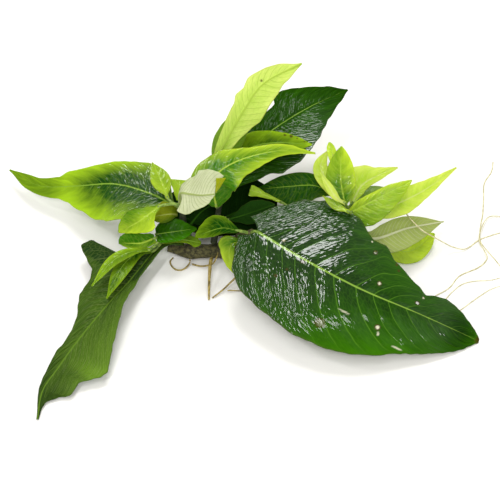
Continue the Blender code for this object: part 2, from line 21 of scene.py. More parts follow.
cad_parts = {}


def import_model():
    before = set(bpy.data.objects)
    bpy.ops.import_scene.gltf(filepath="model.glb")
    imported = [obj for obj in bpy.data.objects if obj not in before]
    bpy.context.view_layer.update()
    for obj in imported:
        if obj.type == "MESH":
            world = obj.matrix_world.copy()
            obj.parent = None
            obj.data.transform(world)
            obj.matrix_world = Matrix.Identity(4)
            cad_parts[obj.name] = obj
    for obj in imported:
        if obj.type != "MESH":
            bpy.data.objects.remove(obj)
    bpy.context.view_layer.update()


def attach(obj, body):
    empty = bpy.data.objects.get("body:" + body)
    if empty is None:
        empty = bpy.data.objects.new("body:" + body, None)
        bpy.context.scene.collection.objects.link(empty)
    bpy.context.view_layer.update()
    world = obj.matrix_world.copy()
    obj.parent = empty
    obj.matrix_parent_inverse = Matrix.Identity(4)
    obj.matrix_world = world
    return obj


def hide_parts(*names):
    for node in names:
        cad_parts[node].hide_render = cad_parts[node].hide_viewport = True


LOG = logging.getLogger("hygrophila")

MM = 0.001
MIDDLE = Vector((2.53, 2.88, 0))  # middle of the plant's footprint in the layout
BLADE = 0.34  # thickness of a leaf blade
RIB = 1.1  # thickness of a leaf at its midrib and stalk
STALK = 0.9  # half the width of a leaf stalk
NECK = 0.08  # share of a plain leaf's length that its stalk takes
TAPER = 0.75  # share of its width that a midrib loses from foot to tip
POINT = 0.4  # half the width at the very tip of a leaf
STEPS = 16  # straight pieces of a curve from one point to the next
STRIPS = 8  # straight pieces that a curled side of a leaf is made of
WAVES = 3  # waves of a wavy margin from foot to tip
PHASES = (0.0, 2.1)  # where they start on the left and on the right, in radians
EDGE_BENDS = 3.5  # length of the small bends of a leaf's margin
VEIN_BENDS = 7.0  # length of the bends of a side vein
SWELL = (6.0, 9.0)  # length of the soft swells of a blade, along and across the leaf
OTHER_SIDE = 40.0  # how far the right side's relief lies from the left side's in its pattern
NEXT_LEAF = 211.0  # how far one leaf's pattern lies from the next leaf's
KNOT = (0.07, 0.25)  # half length of a knot, and how much thicker the stem is there, as shares
TONE_PATCH = 6.25  # width of the patches of tone on a blade
FINE_GRAINS = 1.4  # grains of its fine relief in a millimetre
VIEWER = (0, -0.57, 0.82)  # upper side towards the camera
AWAY = (0, 0.57, -0.82)  # underside towards the camera
PALE_SPOT = "DCD8BC"  # pale, nearly white
STAIN = "4A3212"  # brown

Point = tuple[float, float, float]
Rows = tuple[tuple[float, ...], ...]
Pair = tuple[float, float]
Run = float | tuple[float, ...]
Links = dict[str, object] | tuple[object, ...]


class Layer(Enum):
    """UV maps that carry a leaf's own pattern coordinates to its material."""

    BLADE = "blade"  # where the side vein there leaves the midrib, and distance across, in mm
    VEINS = "veins"  # count of side veins passed, and distance from the midrib in its widths
    TONE = "tone"  # from deep to light, and from the midrib to the margin
    MARKS = "marks"  # amount of pale spot, and amount of brown
    BULGES = "bulges"  # strength of the bulges between the fine veins, and wetness


def linear(code: str) -> tuple[float, ...]:
    """Linear colour, with alpha, of six hex digits of sRGB."""
    parts = [int(code[i : i + 2], 16) / 255 for i in (0, 2, 4)]
    return (*(p / 12.92 if p <= 0.04045 else ((p + 0.055) / 1.055) ** 2.4 for p in parts), 1.0)


def between(rows: Rows, t: float) -> tuple[float, ...]:
    """Values at t from rows of (t, value, ...), eased from row to row.

    Args:
        rows: Rows in order of t.
        t: Where to read them.

    Returns:
        The values at t.
    """
    if t <= rows[0][0]:
        return rows[0][1:]
    for low, high in zip(rows, rows[1:]):
        if t <= high[0]:
            u = (t - low[0]) / (high[0] - low[0])
            u = 0.5 * u + 0.5 * u * u * (3 - 2 * u)
            return tuple(a + (b - a) * u for a, b in zip(low[1:], high[1:]))
    return rows[-1][1:]


def spread(values: Run, t: float) -> float:
    """Value at t from values spaced evenly from 0 to 1, or the one value.

    Args:
        values: One value, or several.
        t: Where to read them.

    Returns:
        The value at t.
    """
    if not isinstance(values, tuple):
        return values
    return between(tuple((i / (len(values) - 1), v) for i, v in enumerate(values)), t)[0]


def add_object(name: str, data: bpy.types.ID) -> bpy.types.Object:
    """Puts an object with this data in the scene.

    Args:
        name: Its name.
        data: Its mesh, lamp or camera.

    Returns:
        The object.
    """
    thing = bpy.data.objects.new(name, data)
    bpy.context.scene.collection.objects.link(thing)
    return thing


def add_mesh(name: str, body: bmesh.types.BMesh) -> bpy.types.Object:
    """Puts a body in the scene with smooth faces, and frees it.

    Args:
        name: Its name.
        body: The body.

    Returns:
        Its object.
    """
    mesh = bpy.data.meshes.new(name)
    body.to_mesh(mesh)
    body.free()
    mesh.shade_smooth()
    return add_object(name, mesh)


def dress(piece: bpy.types.Object, form: LeafForm | StemForm) -> None:
    """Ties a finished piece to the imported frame.

    Args:
        piece: The piece.
        form: What it was made from.
    """
    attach(piece, "root")
    if form.stands_in:
        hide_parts(form.node)
    LOG.info("%s: %d faces", piece.name, len(piece.data.polygons))


class Line:
    """Smooth curve through some points, measured by length from 0 to 1."""

    def __init__(self, points: tuple[Point, ...]) -> None:
        """Follows the points with a Catmull-Rom curve.

        Args:
            points: The points.
        """
        spots = [Vector(p) for p in points]
        spots = [2 * spots[0] - spots[1], *spots, 2 * spots[-1] - spots[-2]]
        self.points = [spots[1]]
        for a, b, c, d in zip(spots, spots[1:], spots[2:], spots[3:]):
            for i in range(1, STEPS + 1):
                u = i / STEPS
                even = 2 * b + (c - a) * u
                bend = (2 * a - 5 * b + 4 * c - d) * u**2
                turn = (3 * b - a - 3 * c + d) * u**3
                self.points.append((even + bend + turn) / 2)
        self.marks = [0.0]
        for p, q in zip(self.points, self.points[1:]):
            self.marks.append(self.marks[-1] + (q - p).length)
        self.length = self.marks[-1]

    def at(self, t: float) -> Vector:
        """Point at the fraction t of the length.

        Args:
            t: The fraction, held from 0 to 1.

        Returns:
            The point.
        """
        goal = min(max(t, 0.0), 1.0) * self.length
        i = 1
        while i < len(self.marks) - 1 and self.marks[i] < goal:
            i += 1
        span = self.marks[i] - self.marks[i - 1]
        return self.points[i - 1].lerp(self.points[i], (goal - self.marks[i - 1]) / span)

    def way(self, t: float, step: float = 0.02) -> Vector:
        """Direction of the curve at the fraction t."""
        return (self.at(t + step) - self.at(t - step)).normalized()


# Materials

# Settings that several nodes share.
MINUS = {"operation": "SUBTRACT"}
TIMES = {"operation": "MULTIPLY"}
SMOOTH = {"interpolation_type": "SMOOTHSTEP"}
COLOURS = {"data_type": "RGBA"}
FLAT_NOISE = {"noise_dimensions": "2D"}


def empty_material(name: str) -> bpy.types.Material:
    """Makes a material without nodes.

    Args:
        name: Its name.

    Returns:
        The material.
    """
    material = bpy.data.materials.new(name)
    material.use_nodes = True
    material.node_tree.nodes.clear()
    return material


def add_node(
    tree: bpy.types.NodeTree, kind: str, settings: dict[str, object], links: Links
) -> bpy.types.Node:
    """Adds one node to a tree.

    Args:
        tree: The material's node tree.
        kind: The node's type name, without its ShaderNode prefix.
        settings: Properties of the node by name.
        links: Values for inputs by name, or for the first inputs in use in their order. Each
            is a number, a hex colour, a node or one of a node's outputs.

    Returns:
        The new node.
    """
    node = tree.nodes.new("ShaderNode" + kind)
    for name, value in settings.items():
        setattr(node, name, value)
    if isinstance(links, dict):
        pairs = [(node.inputs[name], value) for name, value in links.items()]
    else:
        pairs = list(zip((socket for socket in node.inputs if socket.enabled), links))
    for socket, value in pairs:
        if isinstance(value, bpy.types.Node):
            value = next(output for output in value.outputs if output.enabled)
        if isinstance(value, bpy.types.NodeSocket):
            tree.links.new(value, socket)
        else:
            socket.default_value = linear(value) if isinstance(value, str) else value
    return node


@dataclass(frozen=True)
class LeafFinish:
    """One side of a living leaf: thin green tissue that lets light through.

    The blade runs from a deep colour to a light one with the leaf's tone. Light that comes
    through the leaf takes the glow colours.
    """

    name: str
    deep: str
    light: str
    vein: str
    rib: str
    glow_deep: str
    glow_light: str
    sheer: float = 0.35  # share of the light that passes through
    roughness: float = 0.45
    shine: float = 0.25  # strength of the wax's own reflection
    wet: float = 0.0  # weight of the film of water
    film: float = 0.1  # roughness of that film
    lines: float = 0.5  # strength of the side veins
    thread: float = 0.045  # half width of a side vein, as a share of the way to the next
    # Painted shade: the side veins are coloured darker where the blade bulges, for the shade in
    # their grooves.
    vein_shade: float = 0.0  # how dark the side veins are where the blade bulges
    mesh: float = 0.15  # strength of the fine net of veins
    cell: Pair = (1.2, 1.9)  # size of a mesh of that net, along and across the leaf
    bulge: float = 0.12  # height of the bulges between the fine veins
    grain: float = 0.02  # height of the fine relief
    patches: float = 0.25  # how much the tone drifts over the blade
    margin: float = 0.4  # strength of the thin dry margin
    edge: str = "98A848"  # its colour

    def build(self) -> bpy.types.Material:
        """Makes the material.

        Returns:
            The material.
        """
        material = empty_material(self.name)
        add = functools.partial(add_node, material.node_tree)
        blade = add("UVMap", {"uv_map": Layer.BLADE.value}, {})
        layers = (Layer.VEINS, Layer.TONE, Layer.MARKS, Layer.BULGES)
        maps = [add("UVMap", {"uv_map": layer.value}, {}) for layer in layers]
        pairs = [add("SeparateXYZ", {}, (uv,)).outputs[:2] for uv in maps]
        (count, off), (tone, out), (pale, brown), (swell, wetness) = pairs

        # The tone drifts over the blade in patches a few millimetres wide.
        links = {"Vector": blade, "Scale": 1 / TONE_PATCH, "Detail": 5.0, "Roughness": 0.62}
        drift = add("TexNoise", FLAT_NOISE, links)
        shift = add("Math", TIMES, (add("Math", MINUS, (drift, 0.5)), 2 * self.patches))
        shade = add("Math", {"operation": "ADD", "use_clamp": True}, (tone, shift))

        # Veins: a fine net, thin side veins that fade towards the margin, and the midrib.
        scale = (1 / self.cell[0], 1 / self.cell[1], 1.0)
        places = add("Mapping", {}, {"Vector": blade, "Scale": scale})
        settings = {"voronoi_dimensions": "2D", "feature": "DISTANCE_TO_EDGE"}
        net = add("TexVoronoi", settings, {"Vector": places, "Scale": 1.0, "Randomness": 0.9})
        net = add("MapRange", SMOOTH, (net, 0.0, 0.2, 1.0, 0.0))
        line = add("Math", {"operation": "PINGPONG"}, (count, 0.5))
        line = add("MapRange", SMOOTH, (line, 0.2 * self.thread, self.thread, 1.0, 0.0))
        fade = add("MapRange", SMOOTH, (out, 0.75, 1.0, 1.0, 0.25))
        line = add("Math", TIMES, (line, fade))
        soft_line = add("Math", TIMES, (line, self.lines))
        rib = add("MapRange", SMOOTH, (off, 0.55, 1.0, 1.0, 0.0))

        # What the eye sees on the surface, with a dry margin, pale spots and brown stains.
        colour = add("Mix", COLOURS, (shade, self.deep, self.light))
        colour = add("Mix", COLOURS, (add("Math", TIMES, (net, self.mesh)), colour, self.vein))
        # Painted shade: darker side veins where the blade bulges, for the shade in their grooves.
        vein_shade = add("Math", {**TIMES, "use_clamp": True}, (swell, self.vein_shade))
        vein = add("Mix", COLOURS, (vein_shade, self.vein, self.deep))
        colour = add("Mix", COLOURS, (soft_line, colour, vein))
        margin = add("MapRange", SMOOTH, (out, 0.955, 1.0, 0.0, self.margin))
        colour = add("Mix", COLOURS, (margin, colour, self.edge))
        colour = add("Mix", COLOURS, (rib, colour, self.rib))
        colour = add("Mix", COLOURS, (pale, colour, PALE_SPOT))
        colour = add("Mix", COLOURS, (brown, colour, STAIN))

        # What it sees against the light, where the veins are thicker and darker.
        glow = add("Mix", COLOURS, (shade, self.glow_deep, self.glow_light))
        thick = add("Math", {"operation": "MAXIMUM"}, (soft_line, rib))
        glow = add("Mix", COLOURS, (add("Math", TIMES, (thick, 0.5)), glow, self.deep))
        glow = add("Mix", COLOURS, (brown, glow, STAIN))

        # Sunken veins in a fine grain, and round bulges over it that catch the lights.
        links = {"Vector": blade, "Scale": FINE_GRAINS, "Detail": 3.0, "Roughness": 0.5}
        height = add("Math", MINUS, (add("TexNoise", FLAT_NOISE, links), line))
        links = {"Strength": 1.0, "Distance": self.grain * MM, "Height": height}
        relief = add("Bump", {}, links)
        settings = {"voronoi_dimensions": "2D", "feature": "SMOOTH_F1"}
        links = {"Vector": places, "Scale": 1.0, "Smoothness": 0.35, "Randomness": 0.9}
        domes = add("TexVoronoi", settings, links)
        domes = add("Math", TIMES, (add("Math", {"operation": "POWER"}, (domes, 2.0)), swell))
        links = {"Strength": 1.0, "Distance": self.bulge * MM, "Height": domes, "Normal": relief}
        bump = add("Bump", {"invert": True}, links)

        # A waxy skin, wet where the film of water lies, that lets some light through.
        ends = (self.roughness * 0.85, self.roughness * 1.15)
        links = {
            "Base Color": colour, "Roughness": add("MapRange", SMOOTH, (drift, 0.3, 0.7, *ends)),
            "IOR": 1.42, "Specular IOR Level": self.shine, "Normal": bump, "Coat Normal": bump,
            "Coat Weight": add("Math", TIMES, (wetness, self.wet)), "Coat Roughness": self.film,
            "Coat IOR": 1.5,
        }
        surface = add("BsdfPrincipled", {}, links)
        through = add("BsdfTranslucent", {}, {"Color": glow})
        leaf = add("MixShader", {}, (self.sheer, surface, through))
        add("OutputMaterial", {}, {"Surface": leaf})
        return material


@dataclass(frozen=True)
class BarkFinish:
    """Skin of a stem, rhizome or root: smooth or fibrous plant tissue with no gloss."""

    name: str
    deep: str
    light: str
    roughness: float = 0.6
    grain: float = 0.08  # height of the relief
    scale: float = 500.0  # patches per metre

    def build(self) -> bpy.types.Material:
        """Makes the material.

        Returns:
            The material.
        """
        material = empty_material(self.name)
        add = functools.partial(add_node, material.node_tree)
        place = add("TexCoord", {}, {}).outputs["Object"]
        links = {"Vector": place, "Scale": self.scale, "Detail": 4.0, "Roughness": 0.65}
        spots = add("TexNoise", {}, links)
        tone = add("MapRange", SMOOTH, (spots, 0.35, 0.65))
        colour = add("Mix", COLOURS, (tone, self.deep, self.light))
        links = {"Strength": 1.0, "Distance": self.grain * MM, "Height": spots}
        bump = add("Bump", {}, links)
        links = {"Base Color": colour, "Roughness": self.roughness, "IOR": 1.42, "Normal": bump}
        add("OutputMaterial", {}, {"Surface": add("BsdfPrincipled", {}, links)})
        return material


class Skin(Enum):
    """Kinds of leaf, by the finish of their upper side and underside."""

    # An old leaf that grew above water: thick, deep green, wet and glossy.
    OLD = (
        LeafFinish(
            "old_leaf_upper", "0C2E00", "3A7800", "568A1C", "80A43C", "2C6A06", "5E9A10",
            sheer=0.12, wet=1.0, film=0.028, lines=0.75, mesh=0.1, bulge=0.44, shine=0.0,
            cell=(1.6, 2.5), vein_shade=0.9, edge="4C5A20",
        ),
        LeafFinish(
            "old_leaf_under", "1A3608", "5C8018", "98AC5C", "5A7A20", "2C6A06", "5E9A10",
            sheer=0.12, roughness=0.42, lines=0.8, mesh=0.12, shine=0.1, bulge=0.25, vein_shade=1.0,
            edge="3C4A14", thread=0.07,
        ),
    )
    # A full-grown leaf: mid green with yellow margins, wet in places.
    GREEN = (
        LeafFinish(
            "green_leaf_upper", "124600", "A6CE1E", "8CB42C", "8CB43A", "3F8A06", "A8CC20",
            sheer=0.25, wet=0.5, film=0.04, lines=0.45, shine=0.05, patches=0.4, edge="B4CC48",
            bulge=0.28, cell=(1.8, 3),
        ),
        LeafFinish(
            "green_leaf_under", "3E6C12", "8CAE30", "90AC56", "A4BC6C", "4F9A08", "C0E028",
            sheer=0.25, roughness=0.55, shine=0.1,
        ),
    )
    # A young leaf: bright yellow-green, thin and glossy.
    YOUNG = (
        LeafFinish(
            "young_leaf_upper", "347402", "CEE83A", "C6DE50", "BCDA48", "8CC808", "E6F830", wet=0.6,
            film=0.04, lines=0.35, shine=0.05, thread=0.06, patches=0.45, edge="948230", margin=0.5,
            bulge=0.3, cell=(1.8, 3),
        ),
        LeafFinish(
            "young_leaf_under", "6A9420", "B8D050", "BCD07C", "C8D88C", "A0D818", "F0FF60",
            roughness=0.55, shine=0.1,
        ),
    )
    # A leaf past its best: olive, dull and thin.
    OLIVE = (
        LeafFinish(
            "olive_leaf_upper", "46600A", "BEC41C", "8C9A38", "A0AC50", "8CA010", "D2DC30",
            sheer=0.4, wet=0.4, shine=0.05,
        ),
        LeafFinish(
            "olive_leaf_under", "5C6E30", "AAB866", "C4CC94", "D8DCB0", "6C8C0C", "B2C832",
            sheer=0.3, roughness=0.6, thread=0.12, lines=0.7,
        ),
    )
    # Painted shade: leaves in the dark heart of the plant, coloured nearly black and matt to stand
    # for the shade there.
    SHADED = (
        LeafFinish(
            "painted_shade_leaf_upper", "050E02", "14300A", "1C3A0C", "24460E", "081804", "14300A",
            sheer=0.05, roughness=0.7, shine=0.0, margin=0.1,
        ),
        LeafFinish(
            "painted_shade_leaf_under", "0A1806", "1C3A10", "24460E", "2C5014", "081804", "14300A",
            sheer=0.05, roughness=0.7, shine=0.0, margin=0.1,
        ),
    )
    # A pale underside, whitish with green veins.
    PALE = (
        LeafFinish(
            "pale_leaf_upper", "7A9C36", "BCD66C", "C6DC88", "D2E29C", "A8C84C", "E6F49A",
            sheer=0.3, wet=0.3,
        ),
        LeafFinish(
            "pale_leaf_under", "B4BC86", "E6E8CA", "76884A", "A0AE68", "A8C84C", "E6F49A",
            sheer=0.25, roughness=0.55, lines=0.55, mesh=0.1, margin=0.2, thread=0.12,
        ),
    )
    # The youngest leaves: lime, nearly see-through against the light.
    LIME = (
        LeafFinish(
            "lime_leaf_upper", "AAC822", "E8F072", "DCE680", "E0E88C", "C8EC38", "FAFFA0",
            sheer=0.4, wet=0.3, lines=0.35, shine=0.1, thread=0.07, patches=0.45, edge="A08C3C",
            margin=0.6,
        ),
        LeafFinish(
            "lime_leaf_under", "BCD650", "F2F8A0", "98B040", "B8CC5C", "C8EC38", "FAFFA0",
            sheer=0.5, roughness=0.55, lines=0.7, mesh=0.3, shine=0.1, thread=0.07, patches=0.4,
            edge="A08C3C", margin=0.6,
        ),
    )


class Bark(Enum):
    """Finishes of the pieces that are not leaves."""

    # Smooth stems, coloured nearly black olive: painted shade, so that they vanish in the shade
    # among the leaves.
    STEM = BarkFinish("stem_in_painted_shade", "10180A", "30381A")
    # Green leaf stalks, smooth and juicy.
    STALK = BarkFinish("stalk_skin", "46641A", "8CA648", roughness=0.45, grain=0.03)
    # Brown, fibrous rhizome.
    RHIZOME = BarkFinish(
        "rhizome_fibre", "26240F", "5E5A34", roughness=0.75, grain=0.3, scale=700.0,
    )
    # Thick olive-brown roots at the foot of the plant.
    OLD_ROOT = BarkFinish("old_root_skin", "6E5E28", "B09C54", grain=0.05)
    # Pale, thin roots.
    ROOT = BarkFinish("root_skin", "B0A876", "DCD6AE", grain=0.03, scale=300.0)


@functools.cache
def material_of(finish: LeafFinish | BarkFinish) -> bpy.types.Material:
    """The material of a finish, made the first time it is asked for."""
    return finish.build()


# Leaves


@dataclass(frozen=True)
class Mark:
    """A pale spot, brown stain or hole in a leaf."""

    x: float  # distance along the midrib
    y: float  # distance from the midrib, above 0 on the right
    radius: float
    brown: float = 0.0
    pale: float = 0.0
    rim: float = 0.0  # brown at the edge of a pale spot or a hole
    stretch: float = 1.0  # how much longer it is than wide
    turn: float = 0.0  # direction of its longer way, in degrees
    open: bool = False  # whether it goes right through

    def reach(self, x: float, y: float) -> float:
        """Distance of a place from the middle, where 1 is the edge.

        Args:
            x: Distance of the place along the midrib.
            y: Its distance from the midrib.

        Returns:
            The distance in radii.
        """
        turn = math.radians(self.turn)
        far_x, far_y = x - self.x, y - self.y
        long = far_x * math.cos(turn) + far_y * math.sin(turn)
        short = far_y * math.cos(turn) - far_x * math.sin(turn)
        return math.hypot(long / self.stretch, short) / self.radius


@dataclass(frozen=True)
class LeafForm:
    """Shape of one leaf.

    The path is the midrib from the foot of the stalk to the tip, and the upper side faces the
    'up' directions. Halves are rows of (t, left half width, right half width); a plain leaf
    has none, and takes its outline from width, belly, full and sides.
    """

    node: str
    skin: Skin
    slot: str
    path: tuple[Point, ...]
    up: tuple[Point, ...] = (VIEWER,)
    width: float = 10
    belly: float = 0.45  # where it is widest
    full: float = 2.2  # how fast it narrows from there
    sides: Pair = (1, 1)
    halves: Rows = ()
    fold: tuple[Run, Run] = (0, 0)  # how steeply each side rises, in degrees
    curl: tuple[Run, Run] = (0, 0)  # how far each side bends up on its way out
    wave: float = 0  # height of a wavy margin
    lobe: float = 0  # how far the margins at the foot reach back
    shift: Rows = ((0, 0, 0),)  # rows of (t, left margin, right margin) set back
    grid: float = 0.4  # spacing of the mesh
    spacing: float = 3.0  # from one side vein to the next, along the midrib
    stations: tuple[float, ...] = ()  # where side veins leave the midrib, if not evenly
    slant: float = 0.47  # how far a side vein runs forward as it leaves the midrib
    slants: Pair = (1, 1)  # how much of that there is on the left and on the right
    arc: float = 0.33  # how much more it bends forward towards the margin
    quilt: float = 0.15  # how far the blade rises between side veins
    cells: float = 0.03  # how far it rises between fine veins
    cell: Pair = (1.7, 2.6)  # size of a bulge between fine veins, along and across the leaf
    groove: float = 0.25  # depth of the midrib's groove in the upper side
    rib: float = 0.8  # half the width of the midrib at its foot
    rough: float = 0.02  # unevenness of the margin, as a share of the half width
    tones: Rows = ((0, 0.5, 0.5, 0.5),)  # rows of (t, left margin, midrib, right margin)
    bulges: Rows = ((0, 1, 1, 1),)  # strength of the bulges, laid out as the tones are
    wetness: Rows = ((0, 1, 1, 1),)  # strength of the film of water, laid out as the tones are
    marks: tuple[Mark, ...] = ()
    stands_in: bool = True  # whether it stands for a solid of its own name


class Section:
    """Cross-section of a leaf at one place along it."""

    def __init__(self, blade: Blade, t: float) -> None:
        """Works out all that is the same across the leaf there.

        Args:
            blade: The leaf's sheet.
            t: Place along it.
        """
        form = blade.form
        self.point = blade.line.at(t)
        self.way = blade.line.way(t)
        self.up = blade.facing(t, self.way)
        self.side = self.way.cross(self.up)
        self.halves = (blade.half(t, False), blade.half(t, True))
        self.leans = tuple(math.radians(spread(f, t)) for f in form.fold)
        self.bends = tuple(math.radians(spread(c, t)) for c in form.curl)
        self.ripples = tuple(
            form.wave * math.sin(2 * math.pi * WAVES * t + phase) * min(1.0, half / 4)
            for phase, half in zip(PHASES, self.halves)
        )
        self.backs = tuple(form.lobe * (1 - t) ** 6 + shift for shift in between(form.shift, t))

    def spot(self, v: float) -> Vector:
        """Point of the sheet at v from -1 to 1 across the leaf.

        Args:
            v: Place across it.

        Returns:
            The point.
        """
        right, reach = v > 0, abs(v)
        out = rise = 0.0
        for i in range(STRIPS):
            angle = self.leans[right] + self.bends[right] * reach * (i + 0.5) / STRIPS
            out += math.cos(angle) * reach * self.halves[right] / STRIPS
            rise += math.sin(angle) * reach * self.halves[right] / STRIPS
        rise += self.ripples[right] * reach**2
        back = self.backs[right] * reach**2
        out = out if right else -out
        return self.point + self.side * out + self.up * rise - self.way * back


@dataclass
class Blade:
    """Sheet of one leaf: t runs from the foot of its stalk to its tip, v across it."""

    form: LeafForm
    seed: int  # sets its pattern apart from the others

    def __post_init__(self) -> None:
        """Lays out the sheet."""
        self.line = Line(self.form.path)
        self.ups = [Vector(u).normalized() for u in self.form.up]
        halves = [row[1:] for row in self.form.halves] or [(self.form.width / 2,) * 2]
        self.widest = max(max(pair) for pair in halves)

    def half(self, t: float, right: bool) -> float:
        """Half width at t, on the right side or the left one.

        Args:
            t: Place along the leaf.
            right: Which side.

        Returns:
            The half width.
        """
        form = self.form
        if form.halves:
            size = between(form.halves, t)[right]
        else:
            size = STALK
            s = (t - NECK) / (1 - NECK)
            if s > 0:
                b, m = form.belly, form.full
                shape = (s / b) ** (m * b) * max((1 - s) / (1 - b), 0) ** (m * (1 - b))
                edge = STALK + (POINT - STALK) * t
                size = max(edge, form.width / 2 * shape * form.sides[right])
        place = Vector((t * self.line.length / EDGE_BENDS, 7.0 * right, self.seed * 3.7))
        return size * (1 + form.rough * noise.noise(place))

    def facing(self, t: float, way: Vector) -> Vector:
        """Upward direction of the sheet at t, square to the midrib.

        Args:
            t: Place along the leaf.
            way: Direction of the midrib there.

        Returns:
            A direction of length one.
        """
        up = self.ups[0]
        if len(self.ups) > 1:
            place = t * (len(self.ups) - 1)
            i = min(int(place), len(self.ups) - 2)
            up = self.ups[i].lerp(self.ups[i + 1], place - i)
        return (up - way * up.dot(way)).normalized()

    def along(self, t: float) -> float:
        """Place along the leaf of the grid's row t, closer together near a plain leaf's ends."""
        return t if self.form.halves else t + 0.06 * math.sin(2 * math.pi * t)

    def root_of(self, x: float, y: float, v: float) -> float:
        """Distance along the midrib at which the side vein through a place leaves it.

        Args:
            x: Distance of the place along the midrib.
            y: Its distance from the midrib.
            v: Its place across the leaf.

        Returns:
            The distance.
        """
        form, right = self.form, v > 0
        sway = noise.noise(Vector((x / VEIN_BENDS, y / VEIN_BENDS + 3.0 * right, self.seed * 1.3)))
        run = form.slants[right] * self.widest
        return x - run * (form.slant * abs(v) + form.arc * v * v) + 0.4 * sway

    def vein(self, root: float) -> float:
        """Count of side veins passed.

        Args:
            root: Distance along the midrib of the vein's foot.

        Returns:
            A whole number on each side vein.
        """
        feet = [t * self.line.length for t in self.form.stations]
        if not feet:
            return root / self.form.spacing + 0.5
        i = 0
        while i < len(feet) - 2 and feet[i + 1] < root:
            i += 1
        return i + (root - feet[i]) / (feet[i + 1] - feet[i])

    def relief(self, root: float, y: float, v: float, rib: float, bulge: float) -> float:
        """Height of the blade over its smooth sheet, towards the upper side.

        Args:
            root: Distance along the midrib of the foot of the side vein there.
            y: Distance from the midrib.
            v: Place across the leaf.
            rib: Half width of the midrib there.
            bulge: Strength of the bulges there.

        Returns:
            The height.
        """
        form = self.form
        count = self.vein(root)
        gap = abs(count - round(count)) * 2
        dome = 1 - (1 - gap) ** 2
        fade = (1 - abs(v) ** 4) * min(1.0, y / (2 * form.rib))
        side = OTHER_SIDE if v > 0 else 0.0
        place = Vector((root / form.cell[0], y / form.cell[1] + side, self.seed * 2.1))
        bumps = bulge * (1 - min(1.0, noise.voronoi(place)[0][0]) ** 2)
        swell = noise.noise(Vector((root / SWELL[0], y / SWELL[1] + side, self.seed * 5.3)))
        even = form.quilt * (dome + 0.6 * swell) + form.cells * bumps
        return even * fade - form.groove * math.exp(-((y / rib) ** 2))


